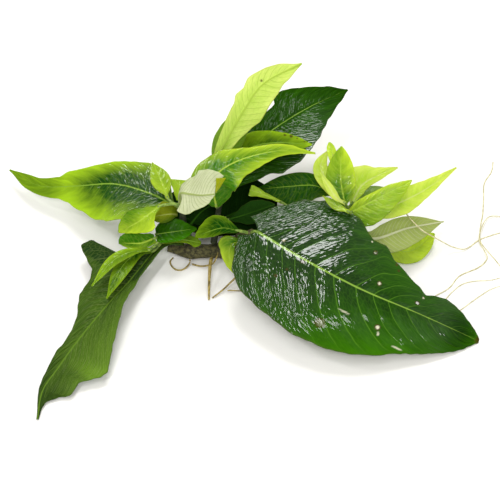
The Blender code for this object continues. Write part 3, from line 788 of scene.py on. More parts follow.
@dataclass
class Leaf:
    """One leaf as a fine mesh with its finish."""

    form: LeafForm
    seed: int  # sets its pattern apart from the others

    def build(self) -> bpy.types.Object:
        """Models the leaf, dresses it and puts it in place of its solid.

        Returns:
            The leaf.
        """
        form, blade = self.form, Blade(self.form, self.seed)
        count = max(16, round(blade.line.length / form.grid))
        width = sum(max(blade.half(i / 20, right) for i in range(21)) for right in (False, True))
        columns = 2 * max(4, round(width / form.grid / 2))
        sheet = bmesh.new()
        bmesh.ops.create_grid(sheet, x_segments=count, y_segments=columns, size=1)
        sections: dict[float, Section] = {}
        values: dict[Layer, list[Pair]] = {layer: [] for layer in Layer}
        places: list[Pair] = []
        reliefs: list[float] = []
        weights: list[float] = []
        for vertex in sheet.verts:
            t, v = blade.along((vertex.co.x + 1) / 2), -vertex.co.y
            key = round(t, 6)
            if key not in sections:
                sections[key] = Section(blade, t)
            section = sections[key]
            x, y = t * blade.line.length, section.halves[v > 0] * abs(v)
            rib = form.rib * (1 - TAPER * t)
            foot = blade.root_of(x, y, v)
            across = y if v > 0 else -y
            bulge, wetness = (self.level(rows, t, v) for rows in (form.bulges, form.wetness))
            places.append((x, across))
            values[Layer.BLADE].append((foot + NEXT_LEAF * self.seed, across))
            values[Layer.VEINS].append((blade.vein(foot), y / rib))
            values[Layer.TONE].append((self.level(form.tones, t, v), abs(v)))
            values[Layer.BULGES].append((bulge, wetness))
            values[Layer.MARKS].append(self.marks_at(x, across))
            reliefs.append(blade.relief(foot, y, v, rib, bulge))
            weights.append(max(0.0, 1 - y / (1.8 * rib)) * (1 - 0.6 * t))
            vertex.co = section.spot(v)
        sheet.normal_update()
        heights = [vertex.normal * rise for vertex, rise in zip(sheet.verts, reliefs)]
        for vertex, height in zip(sheet.verts, heights):
            vertex.co = (vertex.co + height - MIDDLE) * MM
        kept = self.pierce(sheet, places)
        values = {layer: [pairs[i] for i in kept] for layer, pairs in values.items()}
        leaf = add_mesh(form.node + "_blade", sheet)
        self.lay_out(leaf.data, values)
        self.finish(leaf, [weights[i] for i in kept])
        return leaf

    @staticmethod
    def level(rows: Rows, t: float, v: float) -> float:
        """Value at a place on the blade.

        Args:
            rows: Rows of (t, left margin, midrib, right margin).
            t: Place along the leaf.
            v: Place across it.

        Returns:
            The value.
        """
        left, middle, right = between(rows, t)
        edge = right if v > 0 else left
        return middle + (edge - middle) * abs(v) ** 1.4

    def marks_at(self, x: float, y: float) -> Pair:
        """Amounts of pale spot and of brown at a place on the blade.

        Args:
            x: Distance along the midrib.
            y: Distance from the midrib, above 0 on the right.

        Returns:
            The two amounts, from 0 to 1.
        """
        pale = brown = 0.0
        for mark in self.form.marks:
            reach = mark.reach(x, y)
            if reach < 3:
                reach += 0.25 * noise.noise(Vector((x, y, self.seed)))
                inside = min(1.0, max(0.0, 2.2 * (1.2 - reach)))
                ring = max(0.0, 1 - abs(reach - 1.25) / 0.4)
                pale = max(pale, mark.pale * inside)
                brown = max(brown, mark.brown * inside, mark.rim * ring)
        return pale, brown

    def pierce(self, sheet: bmesh.types.BMesh, places: list[Pair]) -> list[int]:
        """Opens the leaf's holes, with the places round each drawn to its edge.

        Args:
            sheet: The leaf's sheet.
            places: Distances along and across the blade of each vertex.

        Returns:
            The numbers that the remaining vertices had before.
        """
        sheet.verts.ensure_lookup_table()
        gone: set[int] = set()
        for hole in (mark for mark in self.form.marks if mark.open):
            reach = {i: hole.reach(*place) for i, place in enumerate(places)}
            inside = {i for i in reach if reach[i] < 1}
            if not inside:
                continue
            centre = sum((sheet.verts[i].co for i in inside), Vector()) / len(inside)
            gone |= inside
            for vertex in (sheet.verts[i] for i in reach if 1 <= reach[i] < 2.5):
                if any(edge.other_vert(vertex).index in inside for edge in vertex.link_edges):
                    vertex.co = centre + (vertex.co - centre) / reach[vertex.index]
        if gone:
            bmesh.ops.delete(sheet, geom=[sheet.verts[i] for i in gone], context="VERTS")
        return [i for i in range(len(places)) if i not in gone]

    @staticmethod
    def lay_out(mesh: bpy.types.Mesh, values: dict[Layer, list[Pair]]) -> None:
        """Writes the leaf's pattern coordinates to its UV maps.

        Args:
            mesh: The leaf's sheet.
            values: Two values for each vertex in each map.
        """
        corners = np.empty(len(mesh.loops), np.int32)
        mesh.loops.foreach_get("vertex_index", corners)
        for layer, pairs in values.items():
            uv = mesh.uv_layers.new(name=layer.value)
            uv.data.foreach_set("uv", np.array(pairs, np.float32)[corners].ravel())

    def finish(self, leaf: bpy.types.Object, weights: list[float]) -> None:
        """Gives the sheet its thickness and materials, and puts it in place of its solid.

        Args:
            leaf: The leaf's sheet.
            weights: For each vertex, how far it is part of the midrib.
        """
        for side in self.form.skin.value:
            leaf.data.materials.append(material_of(side))
        group = leaf.vertex_groups.new(name="rib")
        for i, weight in enumerate(weights):
            if weight > 0:
                group.add([i], weight, "REPLACE")
        solid = leaf.modifiers.new("thickness", "SOLIDIFY")
        solid.thickness = RIB * MM
        solid.offset = 0
        solid.vertex_group = group.name
        solid.thickness_vertex_group = BLADE / RIB
        solid.material_offset = 1
        dress(leaf, self.form)


# Stems and roots


@dataclass(frozen=True)
class StemForm:
    """Shape of one stem or root, with its radii spread along it."""

    node: str
    bark: Bark
    slot: str
    path: tuple[Point, ...]
    radii: tuple[float, ...]
    knots: tuple[float, ...] = ()  # where it is thicker
    sides: int = 16
    pitch: float = 0.8  # spacing of the rings along it
    uneven: float = 0.05  # unevenness of the radius
    ridges: float = 0.0  # depth of the ridges along it, as a share of the radius
    stands_in: bool = True  # whether it stands for a solid of its own name


@dataclass
class Stem:
    """One stem or root as a fine mesh with its finish."""

    form: StemForm
    seed: int  # sets its surface apart from the others

    def __post_init__(self) -> None:
        """Follows the centre line."""
        self.line = Line(self.form.path)

    def build(self) -> bpy.types.Object:
        """Models the stem, dresses it and puts it in place of its solid.

        Returns:
            The stem.
        """
        form = self.form
        body = bmesh.new()
        bmesh.ops.create_cone(
            body, cap_ends=True, segments=form.sides, radius1=1, radius2=1, depth=2
        )
        rails = [e for e in body.edges if abs(e.verts[0].co.z - e.verts[1].co.z) > 1]
        cuts = max(4, round(self.line.length / form.pitch))
        bmesh.ops.subdivide_edges(body, edges=rails, cuts=cuts, use_grid_fill=True)
        rings: dict[float, tuple[Vector, Vector, Vector, float]] = {}
        for vertex in body.verts:
            t = (vertex.co.z + 1) / 2
            key = round(t, 5)
            if key not in rings:
                rings[key] = self.ring(t)
            centre, side, up, radius = rings[key]
            angle = math.atan2(vertex.co.y, vertex.co.x)
            place = Vector((2 * math.cos(angle), 2 * math.sin(angle), t * self.line.length / 2))
            rough = form.uneven * noise.noise(place + Vector((0, 0, 31.0 * self.seed)))
            reach = radius * (1 + rough + form.ridges * math.cos(5 * angle))
            spot = centre + (side * math.cos(angle) + up * math.sin(angle)) * reach
            vertex.co = (spot - MIDDLE) * MM
        bmesh.ops.recalc_face_normals(body, faces=body.faces)
        stem = add_mesh(form.node + "_skin", body)
        stem.data.materials.append(material_of(form.bark.value))
        dress(stem, form)
        return stem

    def ring(self, t: float) -> tuple[Vector, Vector, Vector, float]:
        """Ring of the stem at t.

        Args:
            t: Place along the stem.

        Returns:
            Its centre, two directions square to the stem, and its radius.
        """
        form = self.form
        way = self.line.way(t)
        ahead = Vector((0, 0, 1)) if abs(way.z) < 0.9 else Vector((0, 1, 0))
        side = way.cross(ahead).normalized()
        knots = (math.exp(-(((t - knot) / KNOT[0]) ** 2)) for knot in form.knots)
        radius = spread(form.radii, t) * (1 + KNOT[1] * max(knots, default=0.0))
        return self.line.at(t), side, side.cross(way), radius


# The rhizome on the surface, and the shoots that rise from it.
STEMS = (
    StemForm(
        "rhizome", Bark.RHIZOME, "rhizome",
        ((-41, 12.6, 4.1), (-30, 10.3, 4.2), (-12, 11, 4.3), (4, 14, 4.2), (14, 16, 4.1)),
        (2.2, 3.4, 3.4, 3.4, 2.4), knots=(0.2, 0.5, 0.8), sides=28, ridges=0.03,
    ),
    StemForm(
        "stump", Bark.RHIZOME, "rhizome", ((-9, 11.5, 9.1), (-5, 8, 18), (1, 4, 28)),
        (2.6, 2.4, 2.2), knots=(0.5,), sides=24, ridges=0.05,
    ),
    StemForm(
        "shoot_left", Bark.STEM, "stem",
        ((-29, 12, 8.8), (-32, 15, 17), (-33, 18, 26), (-33.3, 18.2, 33)), (1.7, 1.7, 1.3, 0.9),
        knots=(0.6,),
    ),
    StemForm(
        "shoot_fan", Bark.STEM, "stem", ((-38.5, 14, 8.2), (-42, 13.6, 13.5), (-44, 10.8, 18.3)),
        (1.5, 1.4, 1.1), knots=(0.7,),
    ),
    StemForm(
        "shoot_crown", Bark.STEM, "stem",
        ((-18, 12.5, 9), (-16, 14, 24), (-14, 19, 37), (-12.8, 22, 41)), (1.7, 1.7, 1.3, 0.9),
        knots=(0.4, 0.8),
    ),
    StemForm(
        "shoot_right", Bark.STEM, "stem",
        ((16.6, 17.5, 5), (26, 19, 12), (38, 19, 18), (46, 19, 26)), (1.7, 1.7, 1.6, 1.3),
        knots=(0.3, 0.7),
    ),
)

# Thin roots. The long ones lie on the surface, and cross there one over another.
ROOTS: tuple[tuple[str, tuple[Point, ...], tuple[float, ...]], ...] = (
    ("root_right_long", ((76, 18, 25), (79, 13.5, 24.5), (84, 10.6, 21), (90, 10.6, 16),
        (96, 12, 9.5), (102, 13.5, 3.5), (109, 14, 1), (117, 20, 0.5), (124, 23, 0.5),
        (130, 25, 0.5)), (0.3, 0.28, 0.22)),
    ("root_right_back", ((132, 72, 0.5), (130, 65, 0.5), (125, 57, 0.5), (123, 46, 0.55),
        (121, 36, 0.6), (118, 26, 1.8), (117, 18, 1.8), (120, 13, 0.8), (123, 8, 0.5),
        (126, 2, 0.5)), (0.25, 0.28, 0.2)),
    ("root_right_front", ((131, 35, 0.5), (124, 34, 1.5), (119, 27, 3.3), (116, 18, 3.3),
        (118, 12, 2.2), (119, 8, 1), (114, 3, 0.5), (104, -2, 0.5), (98, -9, 0.5), (90, -14, 0.5)),
        (0.25, 0.28, 0.2)),
    ("root_right_low", ((95, -16, 0.5), (100, -10.5, 0.5), (105.5, -6.5, 0.5), (112, -5, 0.5),
        (119, -4.5, 0.5), (126, -2.5, 0.5)), (0.2, 0.2, 0.15)),
    ("root_right_lowest", ((101.5, -22, 0.5), (110, -15.5, 0.5), (118, -10, 0.5), (126, -7, 0.5)),
        (0.2, 0.2, 0.15)),
    ("root_middle_straight", ((-19, 5.4, 5), (-19.5, 1, 7), (-20, -7, 3.6), (-20, -16, 0.7)),
        (0.9, 0.85, 0.65, 0.45)),
    ("root_middle_fork", ((-3, 8.5, 5), (-5, -3, 6), (-12, -10, 2.4), (-18.4, -15, 0.7)),
        (0.5, 0.45, 0.35)),
    ("root_middle_side", ((-11, -11.4, 1.9), (-8, -10.9, 1), (-2, -11, 0.5)), (0.3, 0.28, 0.22)),
    ("root_middle_front", ((-29, 4.6, 1.2), (-25, 3.6, 0.9), (-21.5, 3.4, 1.6), (-18.2, 3.6, 3.4),
        (-16.6, 5, 6.5), (-15.8, 6, 9)), (0.4, 0.4, 0.3)),
    ("root_middle_loop", ((-30, 5.4, 4), (-30, 4.6, 2.2), (-32.9, 2, 0.65), (-36.4, 1.4, 0.65),
        (-39, 3.6, 0.65), (-40, 6.5, 0.7), (-38.5, 8.6, 1.2)), (0.4, 0.4, 0.35)),
)

# Where the stalks of some leaves leave their shoots.
STALKS: dict[str, Point] = {
    "leaf_left_pale": (-33.3, 18, 32), "leaf_left_upper": (-33.2, 18.2, 30),
    "leaf_left_long": (-33.1, 18.1, 27), "leaf_fan_upper": (-33.2, 18, 31.5),
    "leaf_fan_cupped": (-44, 10.8, 18), "leaf_fan_narrow": (-44, 10.8, 17.5),
    "leaf_fan_slender": (-43, 12, 15.5), "leaf_fan_dark": (-44, 11, 17.5),
    "leaf_fan_low": (-42.5, 13, 14), "leaf_crown_pale": (-12.9, 21.8, 40.5),
    "leaf_crown_behind": (-13.3, 20.6, 39), "leaf_crown_arched": (-14.5, 17.5, 34),
    "leaf_crown_olive": (-12.8, 22, 40.5), "leaf_back_dark": (-14.3, 18.2, 35),
    "leaf_front_broad": (0.5, 4.3, 27), "leaf_front_small": (-2.4, 6, 22.5),
    "leaf_centre_short": (0, 4.6, 27), "leaf_centre_grey": (-15.8, 14.3, 25),
    "leaf_centre_twisted": (31, 19, 14.5), "leaf_centre_dark": (-16, 14.2, 23),
    "leaf_under_dark": (5, 14.4, 5), "leaf_right_dark": (45, 19, 25),
    "leaf_right_lime": (46, 19, 25.5), "leaf_right_bud": (45.5, 19, 25.5),
    "leaf_right_upright": (46, 18.8, 25.5), "leaf_right_side": (46.2, 19, 25.5),
    "leaf_right_grey": (46.2, 19, 25), "leaf_right_glossy": (46.2, 18.8, 25),
    "leaf_right_tip": (46, 18.8, 24.5), "leaf_right_underside": (45, 18.8, 23.5),
    "leaf_right_cupped": (39, 19, 18.5), "leaf_right_sliver": (45.6, 18.6, 25.5),
    "leaf_right_strap": (45.8, 18.4, 25),
}

# Large old leaves that spread round the plant.
OLD_LEAVES = (
    LeafForm(
        "leaf_front_broad", Skin.OLD, "leaf_dark",
        ((3, 3, 31), (23, -11, 30), (50, -25, 25), (79, -33, 15), (108, -39, 0.7)), ((0, -0.2, 1),),
        halves=((0, 5, 6), (0.05, 18, 22), (0.11, 28, 28), (0.21, 34, 31), (0.33, 33, 33),
            (0.44, 26, 32), (0.51, 26, 30), (0.58, 20, 27), (0.69, 13.3, 21.3), (0.73, 10.3, 19.5),
            (0.77, 12, 17.6), (0.82, 13, 15), (0.86, 12, 12.8), (0.9, 10.2, 10.3), (0.94, 7.3, 7.3),
            (0.97, 4.8, 4), (0.99, 2.6, 1.8), (1, 1, 1)),
        curl=(-5, -25), lobe=7, grid=0.45,
        stations=(-0.02, 0.053, 0.126, 0.183, 0.273, 0.354, 0.448, 0.521, 0.582, 0.66, 0.757, 0.863,
            0.95),
        quilt=0.4, cells=0.2, rib=1.0, rough=0.012,
        tones=((0, 0.15, 0, 0.1), (0.25, 0.1, 0, 0.25), (0.42, 0.2, 0.05, 0.6),
            (0.6, 0.35, 0.15, 0.8), (0.8, 0.3, 0.15, 0.5), (0.92, 0.2, 0, 0.3),
            (0.97, 0.4, 0.3, 0.4), (1, 1.2, 1, 1.2)),
        bulges=((0, 1, 0.3, 1), (0.3, 1, 0.3, 0.7), (0.42, 0.9, 0.3, 0.15), (0.6, 0.3, 0.2, 0.1),
            (0.75, 0.5, 0.5, 0.4), (0.85, 1, 0.8, 0.8), (1, 0.5, 0.5, 0.5)),
        marks=(Mark(121, 0, 3.2, brown=0.8),
            Mark(115.5, -6.3, 4, brown=0.9, stretch=0.25, turn=-50), Mark(27, 1.5, 1, brown=0.7),
            Mark(20.4, 13.5, 0.8, brown=0.6), Mark(22.8, 8.4, 0.6, brown=0.6),
            Mark(69.6, -19, 0.7, brown=0.7), Mark(71.4, -16.4, 0.7, brown=0.7),
            Mark(13.8, -3, 0.6, pale=0.9, rim=1), Mark(56.4, -20.1, 0.8, rim=1, open=True),
            Mark(63.6, -6.2, 0.8, pale=0.9, rim=1),
            Mark(84, -4.5, 0.6, rim=1, stretch=1.4, open=True),
            Mark(86.4, -8.3, 0.4, pale=0.9, rim=0.6), Mark(52.3, -24.5, 0.4, pale=0.9),
            Mark(69, 13.6, 0.9, pale=1, rim=1), Mark(70.2, 16.2, 0.5, pale=0.8, stretch=2, turn=70),
            Mark(46.8, 22.6, 1.5, pale=0.25, brown=0.3, rim=0.8),
            Mark(53.4, 13.1, 0.42, pale=0.6, stretch=6, turn=3),
            Mark(81, 19, 0.4, pale=0.8, stretch=7, turn=2)),
        cell=(2.2, 4.5),
        wetness=((0, 1, 1, 1), (0.3, 1, 1, 0.7), (0.42, 1, 0.7, 0.15), (0.6, 0.6, 0.4, 0.1),
            (0.72, 0.6, 0.7, 0.2), (0.82, 1, 1, 0.3), (0.9, 0.4, 0.3, 0.1), (0.95, 0.2, 0.1, 0.1)),
    ),
    LeafForm(
        "leaf_low_left_old", Skin.OLD, "leaf_dark",
        ((-33, 11, 9), (-44, 8, 11), (-58, -13, 11), (-66, -24, 11), (-79, -42, 8), (-88, -56, 5),
            (-94, -66, 2.5), (-95, -79, 0.7)),
        ((0, 0, -1),),
        halves=((0, 1, 1), (0.1, 2.5, 3), (0.19, 6, 4), (0.225, 15, 4), (0.243, 27, 4),
            (0.26, 31.8, 4), (0.28, 33.4, 4), (0.3, 30.3, 4.5), (0.338, 24.7, 6), (0.364, 19.2, 6),
            (0.41, 16.2, 7.5), (0.48, 15.1, 11), (0.52, 12.3, 13), (0.57, 8.2, 15.5),
            (0.63, 5.8, 18.5), (0.69, 5.2, 21), (0.72, 5.8, 20), (0.745, 5.4, 17),
            (0.785, 4.7, 12.3), (0.83, 3.5, 13), (0.87, 2.4, 11), (0.9, 1.5, 7.5), (0.93, 1, 2.5),
            (0.96, 0.6, 1), (1, POINT, POINT)),
        fold=((0, 0, 0), (-40, -30, 0, 5)), grid=0.55, spacing=4.5, quilt=-0.8, cells=-0.2, rib=0.9,
        # Painted shade: the blade is darkened by the lobe, for the shade behind it, and the left
        # half is kept darker than the right for the shade on it.
        tones=((0, 0.2, 0.2, 0.4), (0.22, 0.2, -0.4, 0.4), (0.25, 0, -1, 0.3), (0.29, 0, -0.8, 0.3),
            (0.32, 0.2, 0.2, 0.5), (0.5, 0.3, 0.3, 0.6), (0.66, 0.3, 0.4, 0.8),
            (0.73, 0.3, 0.4, 1.4), (0.77, 0.2, 0.3, 0.6), (1, 0, 0, 0)),
        shift=((0.225, 0, 0), (0.243, 1.8, 0), (0.255, 3.4, 0), (0.272, 2.2, 0), (0.285, 0.6, 0),
            (0.3, 0, 0)),
        slant=1.1, arc=0.5, cell=(1.2, 4), slants=(0.3, 1),
        bulges=((0, 1, 0.5, 0.1), (1, 1, 0.5, 0.1)),
    ),
    LeafForm(
        "leaf_left_long", Skin.GREEN, "leaf_green",
        ((-37, 21, 28), (-49, 26, 31), (-67, 35, 27), (-89, 41, 18), (-109, 47, 11), (-127, 60, 8)),
        ((0, -0.45, 0.9),),
        halves=((0, 1, 1), (0.08, 9, 10), (0.18, 16.5, 14), (0.3, 19.5, 12), (0.42, 18.5, 10),
            (0.52, 13, 8.8), (0.6, 8.5, 7.8), (0.66, 6.3, 5.2), (0.85, 4, 3.5), (1, POINT, POINT)),
        fold=(5, 5), spacing=5.5, quilt=0.3, cells=0.15,
        tones=((0, 0.6, 0, 0.4), (0.12, 0.8, -0.2, 0.6), (0.3, 1.1, -0.4, 1), (0.45, 1.1, 0, 1),
            (0.62, 1, 0.8, 1), (0.68, 0.7, 0.5, 0.7), (0.72, 0.5, 0.35, 0.5), (1, 0.5, 0.5, 0.5)),
        bulges=((0, 2.2, 2.2, 2.2), (0.25, 2.2, 2.2, 2), (0.4, 0.8, 0.8, 0.5),
            (0.6, 0.2, 0.2, 0.2)),
        wetness=((0, 2, 2, 2), (0.22, 2.4, 2.4, 2.4), (0.4, 0.7, 0.7, 0.7), (0.7, 0.3, 0.3, 0.3)),
        cell=(2, 4), grid=0.5,
    ),
    LeafForm(
        "leaf_back_dark", Skin.OLD, "leaf_dark",
        ((-11, 25, 34), (-3, 44, 38), (11, 57, 42), (30, 70, 45), (50, 84, 43)), ((0, -0.15, 1),),
        halves=((0, 1, 1), (0.15, 6, 14), (0.3, 9, 21.5), (0.45, 10, 22.5), (0.54, 10.5, 21),
            (0.57, 11.5, 20.3), (0.59, 15.8, 19.5), (0.65, 16, 17.5), (0.7, 14.8, 14.5),
            (0.77, 12, 10.8), (0.9, 7, 5), (1, POINT, POINT)),
        spacing=6.5, quilt=0.5, cells=0.2, tones=((0, 0.2, 0.2, 0.3), (1, 0.2, 0.2, 0.2)),
        cell=(2.2, 4), grid=0.45,
        wetness=((0, 0.05, 0.05, 0.1), (0.4, 0.02, 0.2, 0.8), (0.55, 0.02, 0.35, 1.3),
            (0.72, 0.06, 0.35, 1), (0.85, 0.06, 0.2, 0.3), (1, 0.02, 0.05, 0.05)),
    ),
)

# Leaves of the tallest shoot, at the back.
CROWN_LEAVES = (
    LeafForm(
        "leaf_crown_pale", Skin.LIME, "leaf_lime",
        ((-14, 26, 42), (-14.5, 33, 50), (-10, 38.5, 58), (-3, 46, 67), (6.5, 55, 76),
            (24, 62, 82)),
        ((0, 0.574, -0.819),),
        halves=((0, 1, 1), (0.15, 2.5, 2.5), (0.3, 4.8, 4.2), (0.42, 7.2, 5.2), (0.5, 9, 5.7),
            (0.56, 9.2, 7.3), (0.62, 9, 6), (0.68, 8.6, 7.2), (0.75, 7.8, 6), (0.85, 4.7, 4.6),
            (1, POINT, POINT)),
        wave=0.8, spacing=3.5, grid=0.45, marks=(Mark(51, 1.8, 0.5, brown=0.8),),
        tones=((0, 0.3, 0.1, 0.3), (0.3, 0.5, 0.2, 0.5), (0.6, 0.6, 0.4, 0.7), (1, 0.6, 0.5, 0.7)),
    ),
    LeafForm(
        "leaf_crown_behind", Skin.GREEN, "leaf_green",
        ((-13, 27, 38), (-12, 39, 47.5), (-6, 48, 55), (3, 54, 61)), ((0, 0.5, -0.8),), width=14,
        full=1.6, grid=0.5,
    ),
    LeafForm(
        "leaf_crown_arched", Skin.YOUNG, "leaf_young",
        ((-16, 13.5, 36.5), (-17, 20, 48.5), (-7, 26, 54), (12, 32, 55), (31, 35, 50)),
        ((-0.2, -0.4, 0.9),),
        halves=((0, 2, 2), (0.07, 7.5, 8), (0.16, 11.6, 11.5), (0.22, 10.6, 12), (0.28, 9.2, 12),
            (0.33, 8.8, 11.5), (0.37, 8.2, 10.4), (0.41, 7, 8.7), (0.46, 5.8, 7.9),
            (0.54, 4.3, 6.6), (0.62, 3.8, 5), (0.72, 3.5, 2.9), (0.82, 2.9, 1.6), (0.9, 1.5, 0.7),
            (1, POINT, POINT)),
        grid=0.45, spacing=4, quilt=0.25,
        # Painted shade: the low part near the foot is darker, where it hangs in the shade.
        tones=((0, -0.2, -0.6, -0.8), (0.14, 0, -0.6, -1), (0.22, 0.4, -0.1, -0.7),
            (0.29, 0.6, -0.1, -0.2), (0.37, 0.7, 0, 0.6), (0.7, 0.8, 0.2, 0.8), (1, 1, 0.6, 1)),
        wetness=((0, 0.2, 0.2, 0.2), (0.2, 1.5, 0.8, 0.3), (0.3, 2.5, 1, 0.3),
            (0.42, 1.5, 0.4, 0.3), (0.5, 0.2, 0.2, 0.2)),
        bulges=((0, 0.4, 0.4, 0.4), (0.2, 2.2, 1.2, 0.5), (0.28, 2.4, 1.4, 0.6), (0.42, 2, 1, 0.5),
            (0.5, 0.3, 0.3, 0.3)),
        cells=0.15, cell=(2, 4),
    ),
    LeafForm(
        "leaf_crown_olive", Skin.GREEN, "leaf_olive",
        ((-4.5, 30.5, 43.2), (0, 41, 46.2), (12, 42, 49.5), (30, 44, 46)), ((0, -0.1, 1),),
        halves=((0, 1, 1), (0.1, 2.5, 2.5), (0.2, 6.5, 5.5), (0.35, 8.6, 7.5), (0.5, 7.6, 7.7),
            (0.7, 6, 6), (0.85, 4, 3.5), (1, POINT, POINT)),
        tones=((0, 0.6, 0.1, 0.2), (0.3, 0.8, 0.2, 0.2), (0.6, 0.9, 0.1, 0.2), (0.9, 0.8, 0.5, 0.4),
            (1, 0.9, 0.9, 0.9)),
        marks=(Mark(30, -4.5, 0.7, brown=0.8), Mark(33, -4, 0.8, brown=0.9),
            Mark(36, -3, 0.5, brown=0.7), Mark(39.5, -1.5, 0.5, brown=0.7)),
        wetness=((0, 0.1, 0.1, 0.1),), grid=0.5,
    ),
)

# Leaves of the two shoots on the left.
LEFT_LEAVES = (
    LeafForm(
        "leaf_left_upper", Skin.YOUNG, "leaf_young",
        ((-39.6, 21.5, 32.3), (-43, 29.3, 36.6), (-47.5, 38, 39.8)), ((0.3, -0.3, 0.9),),
    ),
    LeafForm(
        "leaf_left_bud", Skin.YOUNG, "leaf_young",
        ((-34.3, 20, 33), (-34, 23.2, 36.5), (-33.5, 27.2, 39.8)), grid=0.35,
        halves=((0, 1, 1), (0.4, 2.5, 2.5), (0.8, 4.2, 4.5), (0.95, 4.5, 5.5), (1, 4, 5)),
    ),
    LeafForm(
        "leaf_left_pale", Skin.PALE, "leaf_pale",
        ((-33.2, 16.8, 35.2), (-31.9, 12.25, 48), (-27.5, 9.85, 50.5), (-22.3, 7.25, 53),
            (-15.8, 6.4, 55)),
        (AWAY,),
        halves=((0, 0.9, 0.9), (0.38, 0.9, 0.9), (0.41, 3, 1.5), (0.45, 6.5, 4.2), (0.5, 8.4, 7.5),
            (0.55, 9.3, 10), (0.6, 9.6, 11.2), (0.66, 9.1, 11.7), (0.72, 6.9, 11.9),
            (0.79, 5.6, 11.9), (0.87, 4.1, 11.1), (0.93, 2.2, 9.9), (1, 0.6, 7.6)),
        grid=0.35, spacing=1.5,
        shift=((0.38, 0, 0), (0.45, 2.4, -2), (0.5, 2.1, -2.5), (0.59, 1.4, -3), (0.66, 0.5, -2.9),
            (0.72, -0.5, -3), (0.79, -0.9, -3.2), (0.87, -0.9, -3.7), (0.93, -0.5, -4.6),
            (1, 0, -5)),
        slant=0.3, arc=0, quilt=0.08,
    ),
    LeafForm(
        "leaf_left_pale_fold", Skin.OLIVE, "leaf_pale",
        ((-15.53, 6.58, 55.87), (-14.22, 8.47, 58.9), (-13, 10.08, 61.87)), ((0.7, -0.4, 0.57),),
        halves=((0, 0.2, 0.2), (0.5, 1.6, 1.8), (1, 3, 3)), grid=0.3, groove=0, rib=0.3,
        tones=((0, 0.8, 1, 1),), stands_in=False,
    ),
    LeafForm(
        "leaf_left_olive", Skin.OLIVE, "leaf_olive",
        ((-35.3, 16.7, 26), (-39, 14.3, 29.5), (-47, 13.1, 29)),
        halves=((0, 1, 2), (0.06, 1, 3), (0.14, 1.6, 3.9), (0.34, 3, 5.4), (0.55, 3.8, 6.5),
            (0.7, 3.8, 5.8), (0.86, 3, 3.2), (0.95, 2, 1.5), (1, POINT, POINT)),
        tones=((0, -0.3, 0.1, 0.3), (0.5, -0.1, 0.3, 0.4), (1, 0.1, 0.5, 0.5)),
        wetness=((0, 0, 0, 0),),
    ),
    LeafForm(
        "leaf_fan_upper", Skin.YOUNG, "leaf_young",
        ((-43, 15.5, 34.5), (-48, 10, 35), (-54, 7, 32), (-63, 7, 25)),
        halves=((0, 1, 1), (0.1, 1.5, 1.5), (0.18, 2, 2.6), (0.27, 4.1, 3.6), (0.33, 6.9, 4.4),
            (0.4, 7.4, 5.3), (0.46, 6.9, 6), (0.6, 4.8, 7), (0.8, 2.6, 5.5), (0.93, 1.3, 3.2),
            (1, POINT, POINT)),
        tones=((0, 0.3, 0.3, 0.1), (0.3, 0.9, 0.5, 0.1), (0.6, 0.8, 0.4, 0.1), (1, 0.8, 0.6, 0.4)),
        wetness=((0, 0.3, 0.3, 0.3),),
    ),
    LeafForm(
        "leaf_fan_cupped", Skin.YOUNG, "leaf_young", ((-46, 7, 20), (-53, 4, 20), (-64, 7, 16)),
        halves=((0, 2, 2), (0.08, 2.5, 3.2), (0.19, 2.8, 3.9), (0.41, 3.4, 5), (0.69, 2.5, 5.3),
            (0.85, 1.6, 4.6), (0.96, 0.6, 3.2), (1, 0.4, 1.5)),
        # Painted shade: the right side is darker, in the shade under the leaf above.
        tones=((0, 0.4, 0, -0.5), (0.5, 0.5, 0, -0.5), (0.8, 0.5, 0, -0.6), (1, 0.3, -0.2, -0.4)),
        wetness=((0, 0.2, 0.2, 0.2),),
    ),
    LeafForm(
        "leaf_fan_narrow", Skin.GREEN, "leaf_young",
        ((-48, 1, 19), (-58, -3, 22), (-66, -9, 22), (-74, -20, 19)), ((0, -0.4, 0.9),), width=5.4,
        tones=((0, 0.6, 0.2, 0.7), (1, 0.7, 0.4, 0.8)), wetness=((0, 0.6, 0.6, 0.6),), rib=0.35,
    ),
    LeafForm(
        "leaf_fan_slender", Skin.GREEN, "leaf_green",
        ((-47, 4, 13.3), (-55.3, 0.3, 16), (-61.5, -9.2, 17.5), (-67, -25, 16)), ((0, -0.4, 0.9),),
        width=8.6, sides=(1, 0.8), tones=((0, 0.4, 0, 0.5), (1, 0.6, 0.2, 0.6)),
        wetness=((0, 0.3, 0.3, 0.3),), rib=0.35,
    ),
    LeafForm(
        "leaf_fan_dark", Skin.OLD, "leaf_dark", ((-45.5, 9, 20.5), (-37, 9, 22.5), (-26, 12, 21)),
        halves=((0, 3, 3.5), (0.1, 5, 4.6), (0.28, 5.8, 4.9), (0.52, 6.3, 4.9), (0.66, 5.2, 4.2),
            (0.77, 3.5, 3.2), (0.9, 1.5, 1.5), (1, POINT, POINT)),
        # Painted light and shade: the right margin is lighter where light falls on it, and the rest
        # is dark for the shade among the leaves.
        tones=((0, 0.2, 0.1, 0.9), (0.4, 0.3, 0.2, 1), (0.8, 0.5, 0.4, 1.2), (1, 0.6, 0.6, 1.2)),
        wetness=((0, 0.15, 0.15, 0.15),), rib=0.3,
    ),
    LeafForm(
        "leaf_fan_low", Skin.GREEN, "leaf_green",
        ((-43, 8.8, 14), (-34, 10, 14.5), (-24, 9.5, 12.5)),
        halves=((0, 1, 1), (0.2, 2, 1.2), (0.45, 2.4, 1.3), (0.7, 2.6, 1.5), (0.85, 2.3, 2.7),
            (0.94, 1.4, 1.9), (1, POINT, POINT)),
        tones=((0, 0, 0, 0.3), (0.5, 0.2, 0.2, 0.6), (1, 0.3, 0.3, 0.6)),
        wetness=((0, 0.1, 0.1, 0.1),),
    ),
)
